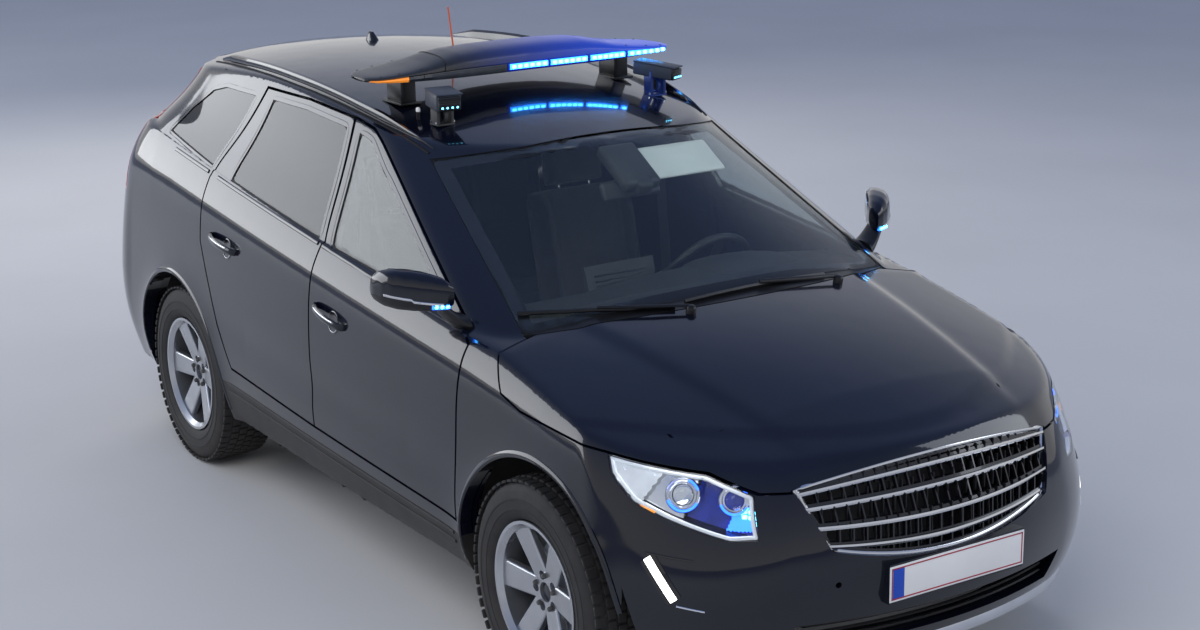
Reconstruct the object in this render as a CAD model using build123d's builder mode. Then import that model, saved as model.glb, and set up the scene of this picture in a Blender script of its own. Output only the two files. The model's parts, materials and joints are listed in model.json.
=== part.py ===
from build123d import *
import math
import os
from collections import namedtuple

# A five-door estate-bodied patrol car with a roof light bar. Sizes are in millimetres.
# +X is the car's left, -Y is forwards, +Z is up. The origin is on the ground, under the
# middle of the car's length and width.

# Driving dimensions of the whole car
HALF_LENGTH = 2322.0
WHEELBASE = 2774.0
FRONT_AXLE_Y = -1429.0
REAR_AXLE_Y = FRONT_AXLE_Y + WHEELBASE
FRONT_TRACK = 1632.0
REAR_TRACK = 1586.0

# Wheels and tyres
TYRE_RADIUS = 368.5
TYRE_WIDTH = 235.0
TYRE_SHOULDER = 42.0
RIM_RADIUS = 233.5
RIM_BARREL_THICKNESS = 9.0
RIM_WIDTH = 196.0
RIM_LIP = 16.0
SPOKE_COUNT = 6
SPOKE_ROOT_WIDTH = 74.0
SPOKE_TIP_WIDTH = 92.0
SPOKE_THICKNESS = 34.0
SPOKE_DISH = 26.0
HUB_RADIUS = 78.0
HUB_FACE_OUT = 62.0
CENTRE_BORE_RADIUS = 31.7
BOLT_CIRCLE = 108.0
BOLT_COUNT = 5
BOLT_HOLE_RADIUS = 7.5
BOLT_POCKET_RADIUS = 15.0
DISC_RADIUS = 150.0
DISC_THICKNESS = 26.0
DISC_IN = 8.0
SEAT_GAP = 0.3

# Wheelhouses
ARCH_RADIUS = 432.0
FRONT_HOUSE_RADIUS = 472.0
REAR_HOUSE_RADIUS = 450.0
FRONT_HOUSE_INNER_X = 462.0
REAR_HOUSE_INNER_X = 630.0
HOUSE_OUTER_X = 880.0

# Exhaust
PIPE_X = 180.0
PIPE_LOW_Z = 288.0
PIPE_HIGH_Z = 362.0
PIPE_RADIUS = 26.0
SILENCER_Y = 1700.0
TAIL_PIPE_X = 430.0
TAIL_PIPE_Z = 300.0
TAIL_PIPE_RADIUS = 34.0

# Cabin fittings
STEERING_CENTRE = (370, -545, 985)
STEERING_NORMAL = (0, 0.906, 0.423)
STEERING_RADIUS = 182.0
STEERING_RIM_RADIUS = 15.0
STEERING_PAD_RADIUS = 62.0
STEERING_SPOKE = (36.0, 12.0)
COLUMN_RADIUS = 30.0
COLUMN_LENGTH = 140.0
DASH_HALF_WIDTH = 790.0
CONSOLE_HALF_WIDTH = 105.0
TERMINAL_SIZE = (290.0, 26.0, 200.0)
TERMINAL_PLACE = (0, -545, 1000)
TERMINAL_TILT = -20.0
TERMINAL_POST = (0, -560, 820)
TERMINAL_POST_RADIUS = 14.0
TERMINAL_POST_HEIGHT = 320.0
SEAT_X = 370.0
SEAT_HALF_WIDTH = 250.0
HEADREST_HALF_WIDTH = 130.0
RUNNER_X = 190.0
RUNNER_HALF_WIDTH = 20.0
POST_X = 70.0
POST_HALF_WIDTH = 8.0
BENCH_HALF_WIDTH = 605.0

# Light bar and camera pods
LENS_BACK_Y = 130.0
LENS_HALF_WIDTH = 560.0
LENS_FLOOR_Z = 1690.0
LENS_ROOF_Z = 1790.0
BAR_FOOT = ((430, 140, 1560), (500, 250, 1715))
POD_BODY = ((400, -150, 1650), (490, -40, 1700))
POD_HOOD = ((420, -170, 1660), (470, -150, 1690))
POD_FOOT = ((425, -130, 1550), (465, -60, 1660))
FIN_HALF_WIDTH = 24.0
WHIP_RADIUS = 4.0
WHIP_LENGTH = 260.0
WHIP_TILT = -12.0
WHIP_FOOT = (0, 620, 1640)
WHIP_RISE = 110.0

# Grille
GRILLE_THICKNESS = 14.0
GRILLE_FRAME = 14.0
GRILLE_BAR_HEIGHT = 13.0
GRILLE_BARS = [(686, -30), (734, -10), (780, 14), (818, 34)]
GRILLE_RIB_PITCH = 42.0
GRILLE_RIB_COUNT = 23
GRILLE_RIB_WIDTH = 5.0
GRILLE_RIB_HEIGHT = 320.0
GRILLE_MIDDLE_Z = 748.0
GRILLE_HALF_WIDTH = 520.0
GRILLE_CUT_Y = -1500.0
Bend = namedtuple("Bend", "z nose_y sweep_back")
GRILLE_BEND = [Bend(560, -2296, 112), Bend(720, -2288, 112), Bend(920, -2196, 116)]

# Body walls and gaps
SKIN_FLANGE = 30.0
DOOR_THICKNESS = 90.0
PILLAR_THICKNESS = 55.0
ROOF_THICKNESS = 40.0
BONNET_THICKNESS = 30.0
SHUT_GAP = 10.0
LID_GAP = 7.0
UPPER_SHUT_GAP = 18.0
DOOR_INNER_STEP = 26.0
GLASS_SET_IN = 5.0
GLASS_THICKNESS = 5.0
FLOOR_Z = 330.0
FLOOR_THICKNESS = 40.0
BOOT_FLOOR_Z = 620.0
FIREWALL_Y = -1030.0
BOOT_FRONT_Y = 1000.0
TUNNEL_HALF_WIDTH = 120.0
TUNNEL_TOP_Z = 440.0
RAIL_INNER_X = 350.0
RAIL_OUTER_X = 450.0
RAIL_LOW_Z = 430.0
RAIL_HIGH_Z = 540.0
RAIL_FRONT_Y = -2240.0
LINER = 12.0
PAN_HALF_WIDTH = 900.0
FIREWALL_TOP_Z = 1020.0
BOOT_BACK_Y = 2240.0
ENGINE_FRONT_Y = -1960.0
ENGINE_BACK_Y = -1330.0
ENGINE_LOW_Z = 400.0
ENGINE_TOP_Z = 880.0

# Number plate pads, the tailgate's stops and the towing eye's hole
PLATE_HALF_WIDTH = 260.0
PLATE_PAD_DEPTH = 62.0
FRONT_PLATE_LOW_Z = 490.0
FRONT_PLATE_HIGH_Z = 612.0
REAR_PLATE_LOW_Z = 380.0
REAR_PLATE_HIGH_Z = 500.0
TAILGATE_STOP = ((300, 2284), (360, 2300))
TOWING_EYE_RADIUS = 9.0
TOWING_EYE_X = -400.0
TOWING_EYE_Z = 566.0
TOWING_EYE_MIDDLE_Y = -2190.0
TOWING_EYE_REACH = 320.0

# Suspension and steering
ARM_LOW_Z = 228.0
ARM_HIGH_Z = 262.0
KNUCKLE_TOP_Z = 500.0
STRUT_X = 628.0
STRUT_RADIUS = 48.0
STRUT_ROD_RADIUS = 22.0
STOP_RADIUS = 12.0
SPINDLE_RADIUS = 20.0
BEAM_HALF_WIDTH = 430.0
FRONT_BEAM_Z = (225.0, 300.0)
REAR_BEAM_Z = (240.0, 330.0)
REAR_ARM_Z = (262.0, 300.0)
CALIPER_GAP = 5.0
GROOVE_WIDTH = 8.0
GROOVE_DEPTH = 7.0

# Plan outlines of the lower body, one row for each height. The columns are the height at the
# middle of the car, how much the outline's plane rises towards the tail, the nose on the centre
# line, the end of the nose arc, a point on the front corner, the start, the middle and the end of
# the side arc, a point on the rear corner, the end of the tail arc and the tail.
Outline = namedtuple(
    "Outline",
    "z rise nose_y nose_x nose_end_y corner_x corner_y front_x front_y mid_x rear_x rear_y"
    " heel_x heel_y tail_x tail_end_y tail_y",
)
LOWER_BODY = [
    Outline(290, 0, -2235, 500, -2130, 740, -1970, 855, -1700, 885, 855, 1900, 795, 2090, 600, 2180, 2235),
    Outline(430, .015, -2283, 540, -2190, 770, -2020, 900, -1760, 928, 900, 1930, 830, 2130, 620, 2240, 2298),
    Outline(620, .03, -2317, 555, -2207, 780, -2033, 912, -1760, 945, 917, 1900, 850, 2130, 630, 2250, 2313),
    Outline(840, .06, -2310, 530, -2200, 745, -2025, 898, -1740, 942, 915, 1850, 848, 2060, 620, 2165, 2232),
    Outline(1073, .085, -2235, 495, -2120, 700, -1960, 872, -1660, 912, 885, 1780, 815, 1960, 590, 2060, 2128),
    Outline(1190, .095, -2160, 460, -2050, 660, -1890, 815, -1580, 858, 830, 1720, 760, 1880, 570, 1970, 2035),
    Outline(1300, .1, -2080, 425, -1975, 620, -1815, 755, -1500, 800, 772, 1655, 702, 1795, 548, 1875, 1938),
]
CABIN = [
    Outline(1000, .08, -1700, 790, -1508, 840, -1400, 865, -1250, 885, 872, 1700, 830, 1930, 620, 2085, 2150),
    Outline(1165, .095, -1407, 753, -1150, 800, -1055, 828, -900, 862, 838, 1600, 780, 1830, 590, 1985, 2048),
    Outline(1350, .05, -925, 652, -625, 702, -545, 735, -420, 770, 748, 1560, 695, 1770, 545, 1915, 1990),
    Outline(1520, .02, -563, 595, -218, 636, -140, 660, -30, 688, 668, 1510, 622, 1695, 500, 1835, 1922),
    Outline(1700, 0, -225, 530, 155, 568, 240, 590, 340, 612, 598, 1460, 560, 1620, 450, 1740, 1830),
]

# Side view of the top surfaces at the centre line and at the crown's edge. The columns are the
# distance from the centre line, then pairs of (y, z) for the front, a middle point and the back.
Crown = namedtuple("Crown", "x front middle back")
BONNET_CROWN = [
    Crown(0, (-2215, 918), (-1750, 1045), (-1150, 1142)),
    Crown(940, (-2215, 770), (-1750, 905), (-1150, 1040)),
]
ROOF_CROWN = [
    Crown(0, (-560, 1530), (450, 1668), (1990, 1592)),
    Crown(700, (-560, 1440), (450, 1598), (1990, 1520)),
]
WAIST_TAIL_Y = 2400.0
WAIST_TAIL_Z = 1405.0

# Shut lines seen from the side, as (y, z)
DOOR_FRONT_Y = -975.0
PILLAR_GAP_Y = 55.0
FRONT_DOOR = [
    (DOOR_FRONT_Y, 482), (DOOR_FRONT_Y, 1050), (-20, 1522), (60, 1556), (196, 1574),
    (PILLAR_GAP_Y, 1172), (PILLAR_GAP_Y, 509),
]
FRONT_WINDOW = [(-792, 1104), (-30, 1478), (50, 1522), (140, 1536), (6, 1168)]
REAR_DOOR = [
    (PILLAR_GAP_Y + SHUT_GAP, 509), (PILLAR_GAP_Y + SHUT_GAP, 1172),
    (196 + UPPER_SHUT_GAP, 1574), (560, 1592), (912, 1588),
    (1040, 1245), (1040, 1000), (905, 690), (800, 539),
]
REAR_DOOR_ARCH_RADIUS = 545.0
REAR_WINDOW = [(106, 1180), (236, 1542), (560, 1560), (842, 1558), (880, 1256)]
DOOR_BELT = [(-1100, 1052), (1200, 1262), (1200, 1700), (-1100, 1700)]
FRAME_ROOM = [(-1100, 1079), (PILLAR_GAP_Y, 1172), (400, 1200), (400, 1700), (-1100, 1700)]
CENTRE_PILLAR = [(42, 440), (42, 1172), (187, 1620), (227, 1620), (78, 1172), (78, 440)]
QUARTER_WINDOW = [(1072, 1282), (1000, 1552), (1290, 1546), (1400, 1520), (1506, 1440), (1560, 1344)]
FENDER_REAR_Y = -985.0
PILLAR_FOOT_Y = -1120.0
FENDER = [
    (FENDER_REAR_Y, 440), (FENDER_REAR_Y, 1072), (-1075, 1102), (PILLAR_FOOT_Y, 1140),
    (-1300, 1140), (-1862, 1000), (-1862, 766), (-1400, 766), (-1400, 440),
]
BONNET = [
    (-1068, 1500), (-1068, 1130), (-1112, 1092), (-1225, 962), (-1340, 936), (-1745, 914),
    (-2000, 888), (-2110, 836), (-2400, 836), (-2400, 1500),
]
LAMP = [
    (-1745, 908), (-2000, 882), (-2104, 830), (-2152, 712), (-2100, 706), (-1950, 755),
    (-1854, 790), (-1775, 856),
]
FENDER_SPLIT_Z = 766.0
FENDER_FRONT_Y = -1862.0
REAR_BUMPER_TOP_Z = 706.0
REAR_BUMPER_FRONT_Y = 1500.0
TAIL_LAMP = [
    (1680, 1572), (1795, 1400), (1890, 1240), (1900, 1150), (1884, 1052), (2400, 985),
    (2400, 1240), (2010, 1262), (1760, 1600),
]
TAIL_LAMP_INNER_X = 560.0
TAILGATE_FRONT_Y = 1822.0

# Front-view and rear-view outlines, as (x, z) on the left
# An arched outline's columns are the corner's x and z, then the arch's z on the centre line.
WINDSCREEN_TOP = (598, 1498, 1553)
WINDSCREEN_BASE = (735, 1085, 1137)
GRILLE_TOP = (485, 834, 884)
GRILLE_BOTTOM = (415, 668, 612)
INTAKE = [(470, 362), (520, 446)]
COWL_HALF_WIDTH = 742.0
TAILGATE = [(548, 716), (548, 1250), (500, 1700)]
TAILGATE_BOX = [(500, 745), (500, 1130)]
TAILGATE_WINDOW = [(490, 1215), (452, 1545), (0, 1570)]
BONNET_REAR = (742, -1092, -1288)
ROOF_EDGE_X = 598.0
LAMP_INNER_X = 497.0

# The steering axis
KINGPIN_X = 700.0

WIDE = 1200.0
HIGH = 2000.0

os.makedirs("parts", exist_ok=True)


def write(shape, name):
    shape.label = name
    export_step(shape, f"parts/{name}.step")


def mirrored(shape):
    return mirror(shape, about=Plane.YZ, mode=Mode.PRIVATE)


def write_pair(shape, name):
    """Writes a left-hand piece and its mirror image."""
    write(mirrored(shape), f"{name}_right")
    write(shape, f"{name}_left")


def largest(shape):
    """The biggest solid, without the crumbs that a cut leaves."""
    return shape.solids().sort_by(SortBy.VOLUME)[-1]


def plan_face(row, inset=0.0):
    """One closed plan outline, set in from the real one by inset."""
    tilted = Plane((0, 0, row.z), x_dir=(1, 0, 0), z_dir=(0, -row.rise, 1))
    with BuildSketch(tilted) as outline:
        with BuildLine():
            nose_end = (row.nose_x - inset, row.nose_end_y + inset)
            tail_end = (row.tail_x - inset, row.tail_end_y - inset)
            ThreePointArc((-nose_end[0], nose_end[1]), (0, row.nose_y + inset), nose_end)
            for side in (1, -1):
                front = (side * (row.front_x - inset), row.front_y)
                rear = (side * (row.rear_x - inset), row.rear_y)
                corner = (side * (row.corner_x - inset), row.corner_y + inset)
                heel = (side * (row.heel_x - inset), row.heel_y - inset)
                ThreePointArc((side * nose_end[0], nose_end[1]), corner, front)
                middle = (side * (row.mid_x - inset), (row.front_y + row.rear_y) / 2)
                ThreePointArc(front, middle, rear)
                ThreePointArc(rear, heel, (side * tail_end[0], tail_end[1]))
            ThreePointArc((-tail_end[0], tail_end[1]), (0, row.tail_y - inset), tail_end)
        make_face()
    return outline.sketch


def crown_solid(rows, drop, floor_z, back_y, back_z):
    """The space under a crowned top surface, lowered by drop. The crown is a parabola across X."""
    centre, edge = rows
    spread = (WIDE / edge.x) ** 2
    with BuildPart() as under:
        sections = []
        for x in (-WIDE, 0, WIDE):
            share = spread if x else 0
            front, middle, back = [
                (a[0], a[1] + share * (b[1] - a[1]) - drop)
                for a, b in zip(centre[1:], edge[1:])
            ]
            with BuildSketch(Plane.YZ.offset(x), mode=Mode.PRIVATE) as section:
                with BuildLine():
                    ThreePointArc(front, middle, back)
                    Polyline(
                        back, (back_y, back_z - drop), (back_y, floor_z),
                        (-HALF_LENGTH - 100, floor_z), (-HALF_LENGTH - 100, front[1] - 25), front,
                    )
                make_face()
            sections.append(section.sketch)
        loft(sections=sections)
    return under.part


def envelope(low_inset=0.0, low_drop=0.0, top_inset=0.0, top_drop=0.0):
    """The closed outer form of the body, set in and lowered by the thickness of its walls."""
    with BuildPart() as lower:
        loft(sections=[plan_face(row, low_inset) for row in LOWER_BODY])
        add(crown_solid(BONNET_CROWN, low_drop, 0, WAIST_TAIL_Y, WAIST_TAIL_Z), mode=Mode.INTERSECT)
    with BuildPart() as whole:
        loft(sections=[plan_face(row, top_inset) for row in CABIN])
        add(crown_solid(ROOF_CROWN, top_drop, 850, 2300, 1560), mode=Mode.INTERSECT)
        add(lower.part)
    return whole.part


def side_prism(points, grow=0.0, near_x=0.0):
    """A prism with a side-view outline of (y, z) points, on the car's left, grown by a gap."""
    with BuildPart() as prism:
        with BuildSketch(Plane.YZ.offset(near_x)):
            with BuildLine():
                Polyline(*points, close=True)
            make_face()
            if grow:
                offset(amount=grow, kind=Kind.INTERSECTION)
        extrude(amount=WIDE - near_x)
    return prism.part


def end_prism(points, near_y, far_y, grow=0.0):
    """A prism with an end-view outline: (x, z) points on the left, joined to their mirror image."""
    with BuildPart() as prism:
        with BuildSketch(Plane.XZ.offset(-near_y)):
            with BuildLine():
                Polyline(*points, *[(-x, z) for x, z in reversed(points) if x], close=True)
            make_face()
            if grow:
                offset(amount=grow, kind=Kind.INTERSECTION)
        extrude(amount=near_y - far_y)
    return prism.part


def arched_face(base, top, y, grow=0.0):
    """An end-view outline, arched at its base and its top."""
    base_x, base_z, base_middle_z = base
    top_x, top_z, top_middle_z = top
    with BuildSketch(Plane.XZ.offset(-y)) as outline:
        with BuildLine():
            ThreePointArc((-top_x, top_z), (0, top_middle_z), (top_x, top_z))
            Line((top_x, top_z), (base_x, base_z))
            ThreePointArc((base_x, base_z), (0, base_middle_z), (-base_x, base_z))
            Line((-base_x, base_z), (-top_x, top_z))
        make_face()
        if grow:
            offset(amount=grow)
    return outline.sketch


def arched_prism(base, top, near_y, far_y, grow=0.0):
    """A prism along Y with an arched end-view outline."""
    with BuildPart() as prism:
        extrude(arched_face(base, top, near_y, grow), amount=near_y - far_y)
    return prism.part


def box_between(low, high):
    """A box between two corners."""
    size = [b - a for a, b in zip(low, high)]
    middle = [(a + b) / 2 for a, b in zip(low, high)]
    return Pos(*middle) * Box(*size, mode=Mode.PRIVATE)


def both_boxes(low, high):
    """A box on the left and its mirror image."""
    box = box_between(low, high)
    return box + mirrored(box)


def cross_drum(y, z, radius, near_x, far_x):
    """A round bar along X on the car's left."""
    place = Pos((near_x + far_x) / 2, y, z) * Rot(0, 90, 0)
    return place * Cylinder(radius, far_x - near_x, mode=Mode.PRIVATE)


def upright_tube(x, y, radius, low_z, high_z):
    """A round bar along Z."""
    return Pos(x, y, (low_z + high_z) / 2) * Cylinder(radius, high_z - low_z, mode=Mode.PRIVATE)


def carve(base, keep=(), extra=(), remove=()):
    """One solid: the base within every kept form, with extras joined and cutters taken out."""
    with BuildPart() as piece:
        add(base)
        for form in keep:
            add(form, mode=Mode.INTERSECT)
        for form in extra:
            add(form)
        for form in remove:
            add(form, mode=Mode.SUBTRACT)
    return largest(piece.part)


def with_mirrors(forms):
    """Left-hand forms followed by their mirror images."""
    return [*forms, *[mirrored(form) for form in forms]]


outer = envelope()
cavity = envelope(DOOR_THICKNESS, 2 * BONNET_THICKNESS, PILLAR_THICKNESS, ROOF_THICKNESS)
under_skin, under_seal, under_flange, glass_front, glass_back = [
    envelope(depth, depth, depth, depth)
    for depth in (
        SKIN_FLANGE, SKIN_FLANGE + SEAT_GAP, SKIN_FLANGE + 6, GLASS_SET_IN,
        GLASS_SET_IN + GLASS_THICKNESS,
    )
]
shell = carve(outer, remove=[cavity])
skin = carve(outer, remove=[under_skin])
glass_sheet = carve(glass_front, remove=[glass_back])

front_arch = cross_drum(FRONT_AXLE_Y, TYRE_RADIUS, ARCH_RADIUS, FRONT_HOUSE_INNER_X, WIDE)
front_house = cross_drum(FRONT_AXLE_Y, TYRE_RADIUS, FRONT_HOUSE_RADIUS, FRONT_HOUSE_INNER_X, HOUSE_OUTER_X)
rear_arch = cross_drum(REAR_AXLE_Y, TYRE_RADIUS, ARCH_RADIUS, REAR_HOUSE_INNER_X, WIDE)
rear_house = cross_drum(REAR_AXLE_Y, TYRE_RADIUS, REAR_HOUSE_RADIUS, REAR_HOUSE_INNER_X, HOUSE_OUTER_X)
door_arch = cross_drum(REAR_AXLE_Y, TYRE_RADIUS, REAR_DOOR_ARCH_RADIUS, 0, WIDE)
deep_door_arch = cross_drum(
    REAR_AXLE_Y, TYRE_RADIUS, REAR_DOOR_ARCH_RADIUS + DOOR_INNER_STEP, 0, HOUSE_OUTER_X
)
open_door_arch = cross_drum(REAR_AXLE_Y, TYRE_RADIUS, REAR_DOOR_ARCH_RADIUS - SHUT_GAP, 0, WIDE)

windscreen_prism = arched_prism(WINDSCREEN_BASE, WINDSCREEN_TOP, -1700, -100)
cowl_low = (COWL_HALF_WIDTH, 800, 790)
cowl_prism = arched_prism(cowl_low, WINDSCREEN_BASE, -1700, FENDER_REAR_Y)
cant_rail = box_between((ROOF_EDGE_X, -1200, 0), (WIDE, 2400, HIGH))
door_room = box_between((ROOF_EDGE_X + SHUT_GAP, -1200, 0), (WIDE, 1200, HIGH))
roof_room = box_between(
    (-ROOF_EDGE_X, -700, 1380), (ROOF_EDGE_X, TAILGATE_FRONT_Y - SHUT_GAP, HIGH)
)

# Doors: a full-size outer flange with a deeper stepped-in box below the belt. The front door's
# window frame is a piece of its own.
frame_room = side_prism(FRAME_ROOM)
for name, outline, window in [("front", FRONT_DOOR, FRONT_WINDOW), ("rear", REAR_DOOR, REAR_WINDOW)]:
    inner_box = carve(
        shell,
        keep=[side_prism(outline, -DOOR_INNER_STEP)],
        remove=[side_prism(DOOR_BELT), deep_door_arch],
    )
    leaf = carve(
        skin,
        keep=[side_prism(outline), door_room],
        extra=[inner_box],
        remove=[side_prism(window), door_arch],
    )
    if name == "front":
        write_pair(carve(leaf, keep=[frame_room]), "front_door_frame")
        leaf = carve(leaf, remove=[frame_room])
    write_pair(leaf, f"{name}_door")
    write_pair(carve(glass_sheet, keep=[side_prism(window, -SEAT_GAP)]), f"{name}_door_glass")

# The fixed glass
write_pair(carve(glass_sheet, keep=[side_prism(QUARTER_WINDOW, -SEAT_GAP)]), "quarter_glass")
windscreen_seat = arched_prism(WINDSCREEN_BASE, WINDSCREEN_TOP, -1700, -100, -SEAT_GAP)
write(carve(glass_sheet, keep=[windscreen_seat]), "windscreen")
tailgate_room = box_between((-WIDE, TAILGATE_FRONT_Y, 0), (WIDE, 2400, HIGH))
tail_window = end_prism(TAILGATE_WINDOW, 1300, 2400)
write(
    carve(glass_sheet, keep=[end_prism(TAILGATE_WINDOW, 1300, 2400, -SEAT_GAP), tailgate_room]),
    "tailgate_glass",
)


def behind_bonnet(gap):
    """What lies behind the bonnet's rear edge, seen from above."""
    corner_x, corner_y, centre_y = BONNET_REAR
    with BuildPart() as rear:
        with BuildSketch(Plane.XY.offset(600)):
            with BuildLine():
                ThreePointArc(
                    (-corner_x, corner_y + gap), (0, centre_y + gap), (corner_x, corner_y + gap)
                )
                Polyline(
                    (corner_x, corner_y + gap), (WIDE, corner_y + gap), (WIDE, 0), (-WIDE, 0),
                    (-WIDE, corner_y + gap), (-corner_x, corner_y + gap),
                )
            make_face()
        extrude(amount=900)
    return rear.part


def grille_prism(grow=0.0):
    return arched_prism(GRILLE_BOTTOM, GRILLE_TOP, -1500, -2500, grow)


# Bonnet: the top skin ahead of a curved rear edge, above the lamps and the grille
bonnet_side = side_prism(BONNET)
bonnet_gap_side = side_prism(BONNET, LID_GAP)
bonnet = carve(
    skin,
    keep=[bonnet_side + mirrored(bonnet_side)],
    remove=[behind_bonnet(0), grille_prism(LID_GAP)],
)
write(bonnet, "bonnet")

# Headlamps, fenders and the cowl under the windscreen
lamp_prism = side_prism(LAMP, 0, LAMP_INNER_X)
write_pair(carve(shell, keep=[lamp_prism], remove=[bonnet_gap_side]), "headlamp")
fender_prism = side_prism(FENDER, 0, 600)
fender = carve(
    skin,
    keep=[fender_prism],
    remove=[bonnet_gap_side, lamp_prism, front_arch, front_house, cowl_prism, windscreen_prism],
)
write_pair(fender, "fender")
cowl = carve(shell, keep=[cowl_prism, behind_bonnet(LID_GAP)])
write(cowl, "cowl")

# Front bumper, with the valance below it that holds the lower intake
nose_room = box_between((-WIDE, -2500, 0), (WIDE, -1560, HIGH))
above_split = both_boxes((600, FENDER_FRONT_Y, FENDER_SPLIT_Z), (WIDE, -1400, HIGH))
plate_pad = box_between(
    (-PLATE_HALF_WIDTH, -HALF_LENGTH, FRONT_PLATE_LOW_Z),
    (PLATE_HALF_WIDTH, -HALF_LENGTH + PLATE_PAD_DEPTH, FRONT_PLATE_HIGH_Z),
)
towing_eye = (
    Pos(TOWING_EYE_X, TOWING_EYE_MIDDLE_Y, TOWING_EYE_Z) * Rot(90, 0, 0)
    * Cylinder(TOWING_EYE_RADIUS, TOWING_EYE_REACH)
)
valance_room = box_between((-WIDE, -2500, 0), (WIDE, -1000, INTAKE[1][1]))
nose_wall = carve(
    shell,
    keep=[nose_room],
    extra=[plate_pad],
    remove=[
        above_split,
        grille_prism(),
        end_prism(INTAKE, -1500, -2500),
        towing_eye,
        *with_mirrors([bonnet_gap_side, lamp_prism, front_arch, front_house]),
    ],
)
write(carve(nose_wall, remove=[valance_room]), "front_bumper")
write(carve(nose_wall, keep=[valance_room]), "front_valance")

# Roof
write(carve(shell, keep=[roof_room], remove=[windscreen_prism]), "roof")

# Tailgate: a skin with a deeper box in its lower half
tailgate = carve(
    skin,
    keep=[end_prism(TAILGATE, 1300, 2400), tailgate_room],
    extra=[carve(shell, keep=[end_prism(TAILGATE_BOX, 1300, 2400), tailgate_room])],
    remove=[tail_window],
)
write(tailgate, "tailgate")

# Tail lamps
tail_lamp_prism = side_prism(TAIL_LAMP, 0, TAIL_LAMP_INNER_X)
write_pair(carve(shell, keep=[tail_lamp_prism], remove=[roof_room]), "tail_lamp")

# Rear bumper
rear_room = box_between((-WIDE, REAR_BUMPER_FRONT_Y, 0), (WIDE, 2500, REAR_BUMPER_TOP_Z))
pipe_notch = Pos(TAIL_PIPE_X, 2200, TAIL_PIPE_Z) * Rot(90, 0, 0) * Cylinder(TAIL_PIPE_RADIUS + 6, 500)
stop_low, stop_high = TAILGATE_STOP
tailgate_stop = box_between(
    (*stop_low, REAR_BUMPER_TOP_Z - 5), (*stop_high, TAILGATE[0][1] - SEAT_GAP)
)
rear_bumper = carve(
    shell,
    keep=[rear_room],
    extra=[
        box_between(
            (-PLATE_HALF_WIDTH, HALF_LENGTH - PLATE_PAD_DEPTH, REAR_PLATE_LOW_Z),
            (PLATE_HALF_WIDTH, HALF_LENGTH, REAR_PLATE_HIGH_Z),
        ),
        *with_mirrors([tailgate_stop]),
    ],
    remove=with_mirrors([rear_arch, rear_house, pipe_notch]),
)
write(rear_bumper, "rear_bumper")

# Body sides, with the centre pillar behind the doors' flanges
centre_pillar = carve(shell, keep=[under_seal, side_prism(CENTRE_PILLAR, 0, ROOF_EDGE_X)])
ahead_of_door = box_between((0, PILLAR_FOOT_Y, 0), (WIDE, FENDER_REAR_Y, HIGH))
fender_depth = carve(fender_prism, keep=[ahead_of_door], remove=[under_flange])
side_room = box_between((0, PILLAR_FOOT_Y, 0), (WIDE, 2400, HIGH))
opening_front = side_prism(FRONT_DOOR, SHUT_GAP, 400)
opening_rear = side_prism(
    [(y + (UPPER_SHUT_GAP - SHUT_GAP if z == 1588 else 0), z) for y, z in REAR_DOOR], SHUT_GAP, 400
)
opening_rear = carve(opening_rear, remove=[open_door_arch])
body_side = carve(
    shell,
    keep=[side_room],
    remove=[
        roof_room, windscreen_prism, cowl_prism, opening_front, opening_rear, fender_depth,
        side_prism(QUARTER_WINDOW), tail_lamp_prism, rear_room, rear_arch, rear_house,
        front_arch, front_house,
        end_prism(TAILGATE, 1300, 2400, SHUT_GAP),
    ],
)
with BuildPart() as side_with_pillar:
    add(body_side)
    add(centre_pillar)
write_pair(largest(side_with_pillar.part), "body_side")


# Floor, tunnel, firewall and boot floor
firewall_front_y = FIREWALL_Y - FLOOR_THICKNESS
riser_front_y = BOOT_FRONT_Y - FLOOR_THICKNESS
floor_top_z = FLOOR_Z + FLOOR_THICKNESS
pan_boxes = [
    box_between((-PAN_HALF_WIDTH, FIREWALL_Y, FLOOR_Z), (PAN_HALF_WIDTH, BOOT_FRONT_Y, floor_top_z)),
    box_between((-PAN_HALF_WIDTH, firewall_front_y, FLOOR_Z), (PAN_HALF_WIDTH, FIREWALL_Y, FIREWALL_TOP_Z)),
    box_between((-PAN_HALF_WIDTH, riser_front_y, FLOOR_Z), (PAN_HALF_WIDTH, BOOT_FRONT_Y, BOOT_FLOOR_Z)),
    box_between(
        (-PAN_HALF_WIDTH, riser_front_y, BOOT_FLOOR_Z - FLOOR_THICKNESS),
        (PAN_HALF_WIDTH, BOOT_BACK_Y, BOOT_FLOOR_Z),
    ),
    box_between((-TUNNEL_HALF_WIDTH, FIREWALL_Y, FLOOR_Z), (TUNNEL_HALF_WIDTH, BOOT_FRONT_Y, TUNNEL_TOP_Z)),
]


def liner_drums(grow=0.0):
    """The outer forms of the left front and rear wheelhouse liners, grown by a gap."""
    return [
        cross_drum(
            FRONT_AXLE_Y, TYRE_RADIUS, FRONT_HOUSE_RADIUS + LINER + grow, RAIL_OUTER_X, HOUSE_OUTER_X
        ),
        cross_drum(
            REAR_AXLE_Y, TYRE_RADIUS, REAR_HOUSE_RADIUS + LINER + grow,
            REAR_HOUSE_INNER_X - LINER - grow, HOUSE_OUTER_X,
        ),
    ]


liner_rooms = liner_drums(SEAT_GAP)
with BuildPart() as pan_form:
    for form in pan_boxes:
        add(form)
    add(cavity, mode=Mode.INTERSECT)
    for form in with_mirrors(liner_rooms):
        add(form, mode=Mode.SUBTRACT)
write(largest(pan_form.part), "floor_pan")

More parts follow.
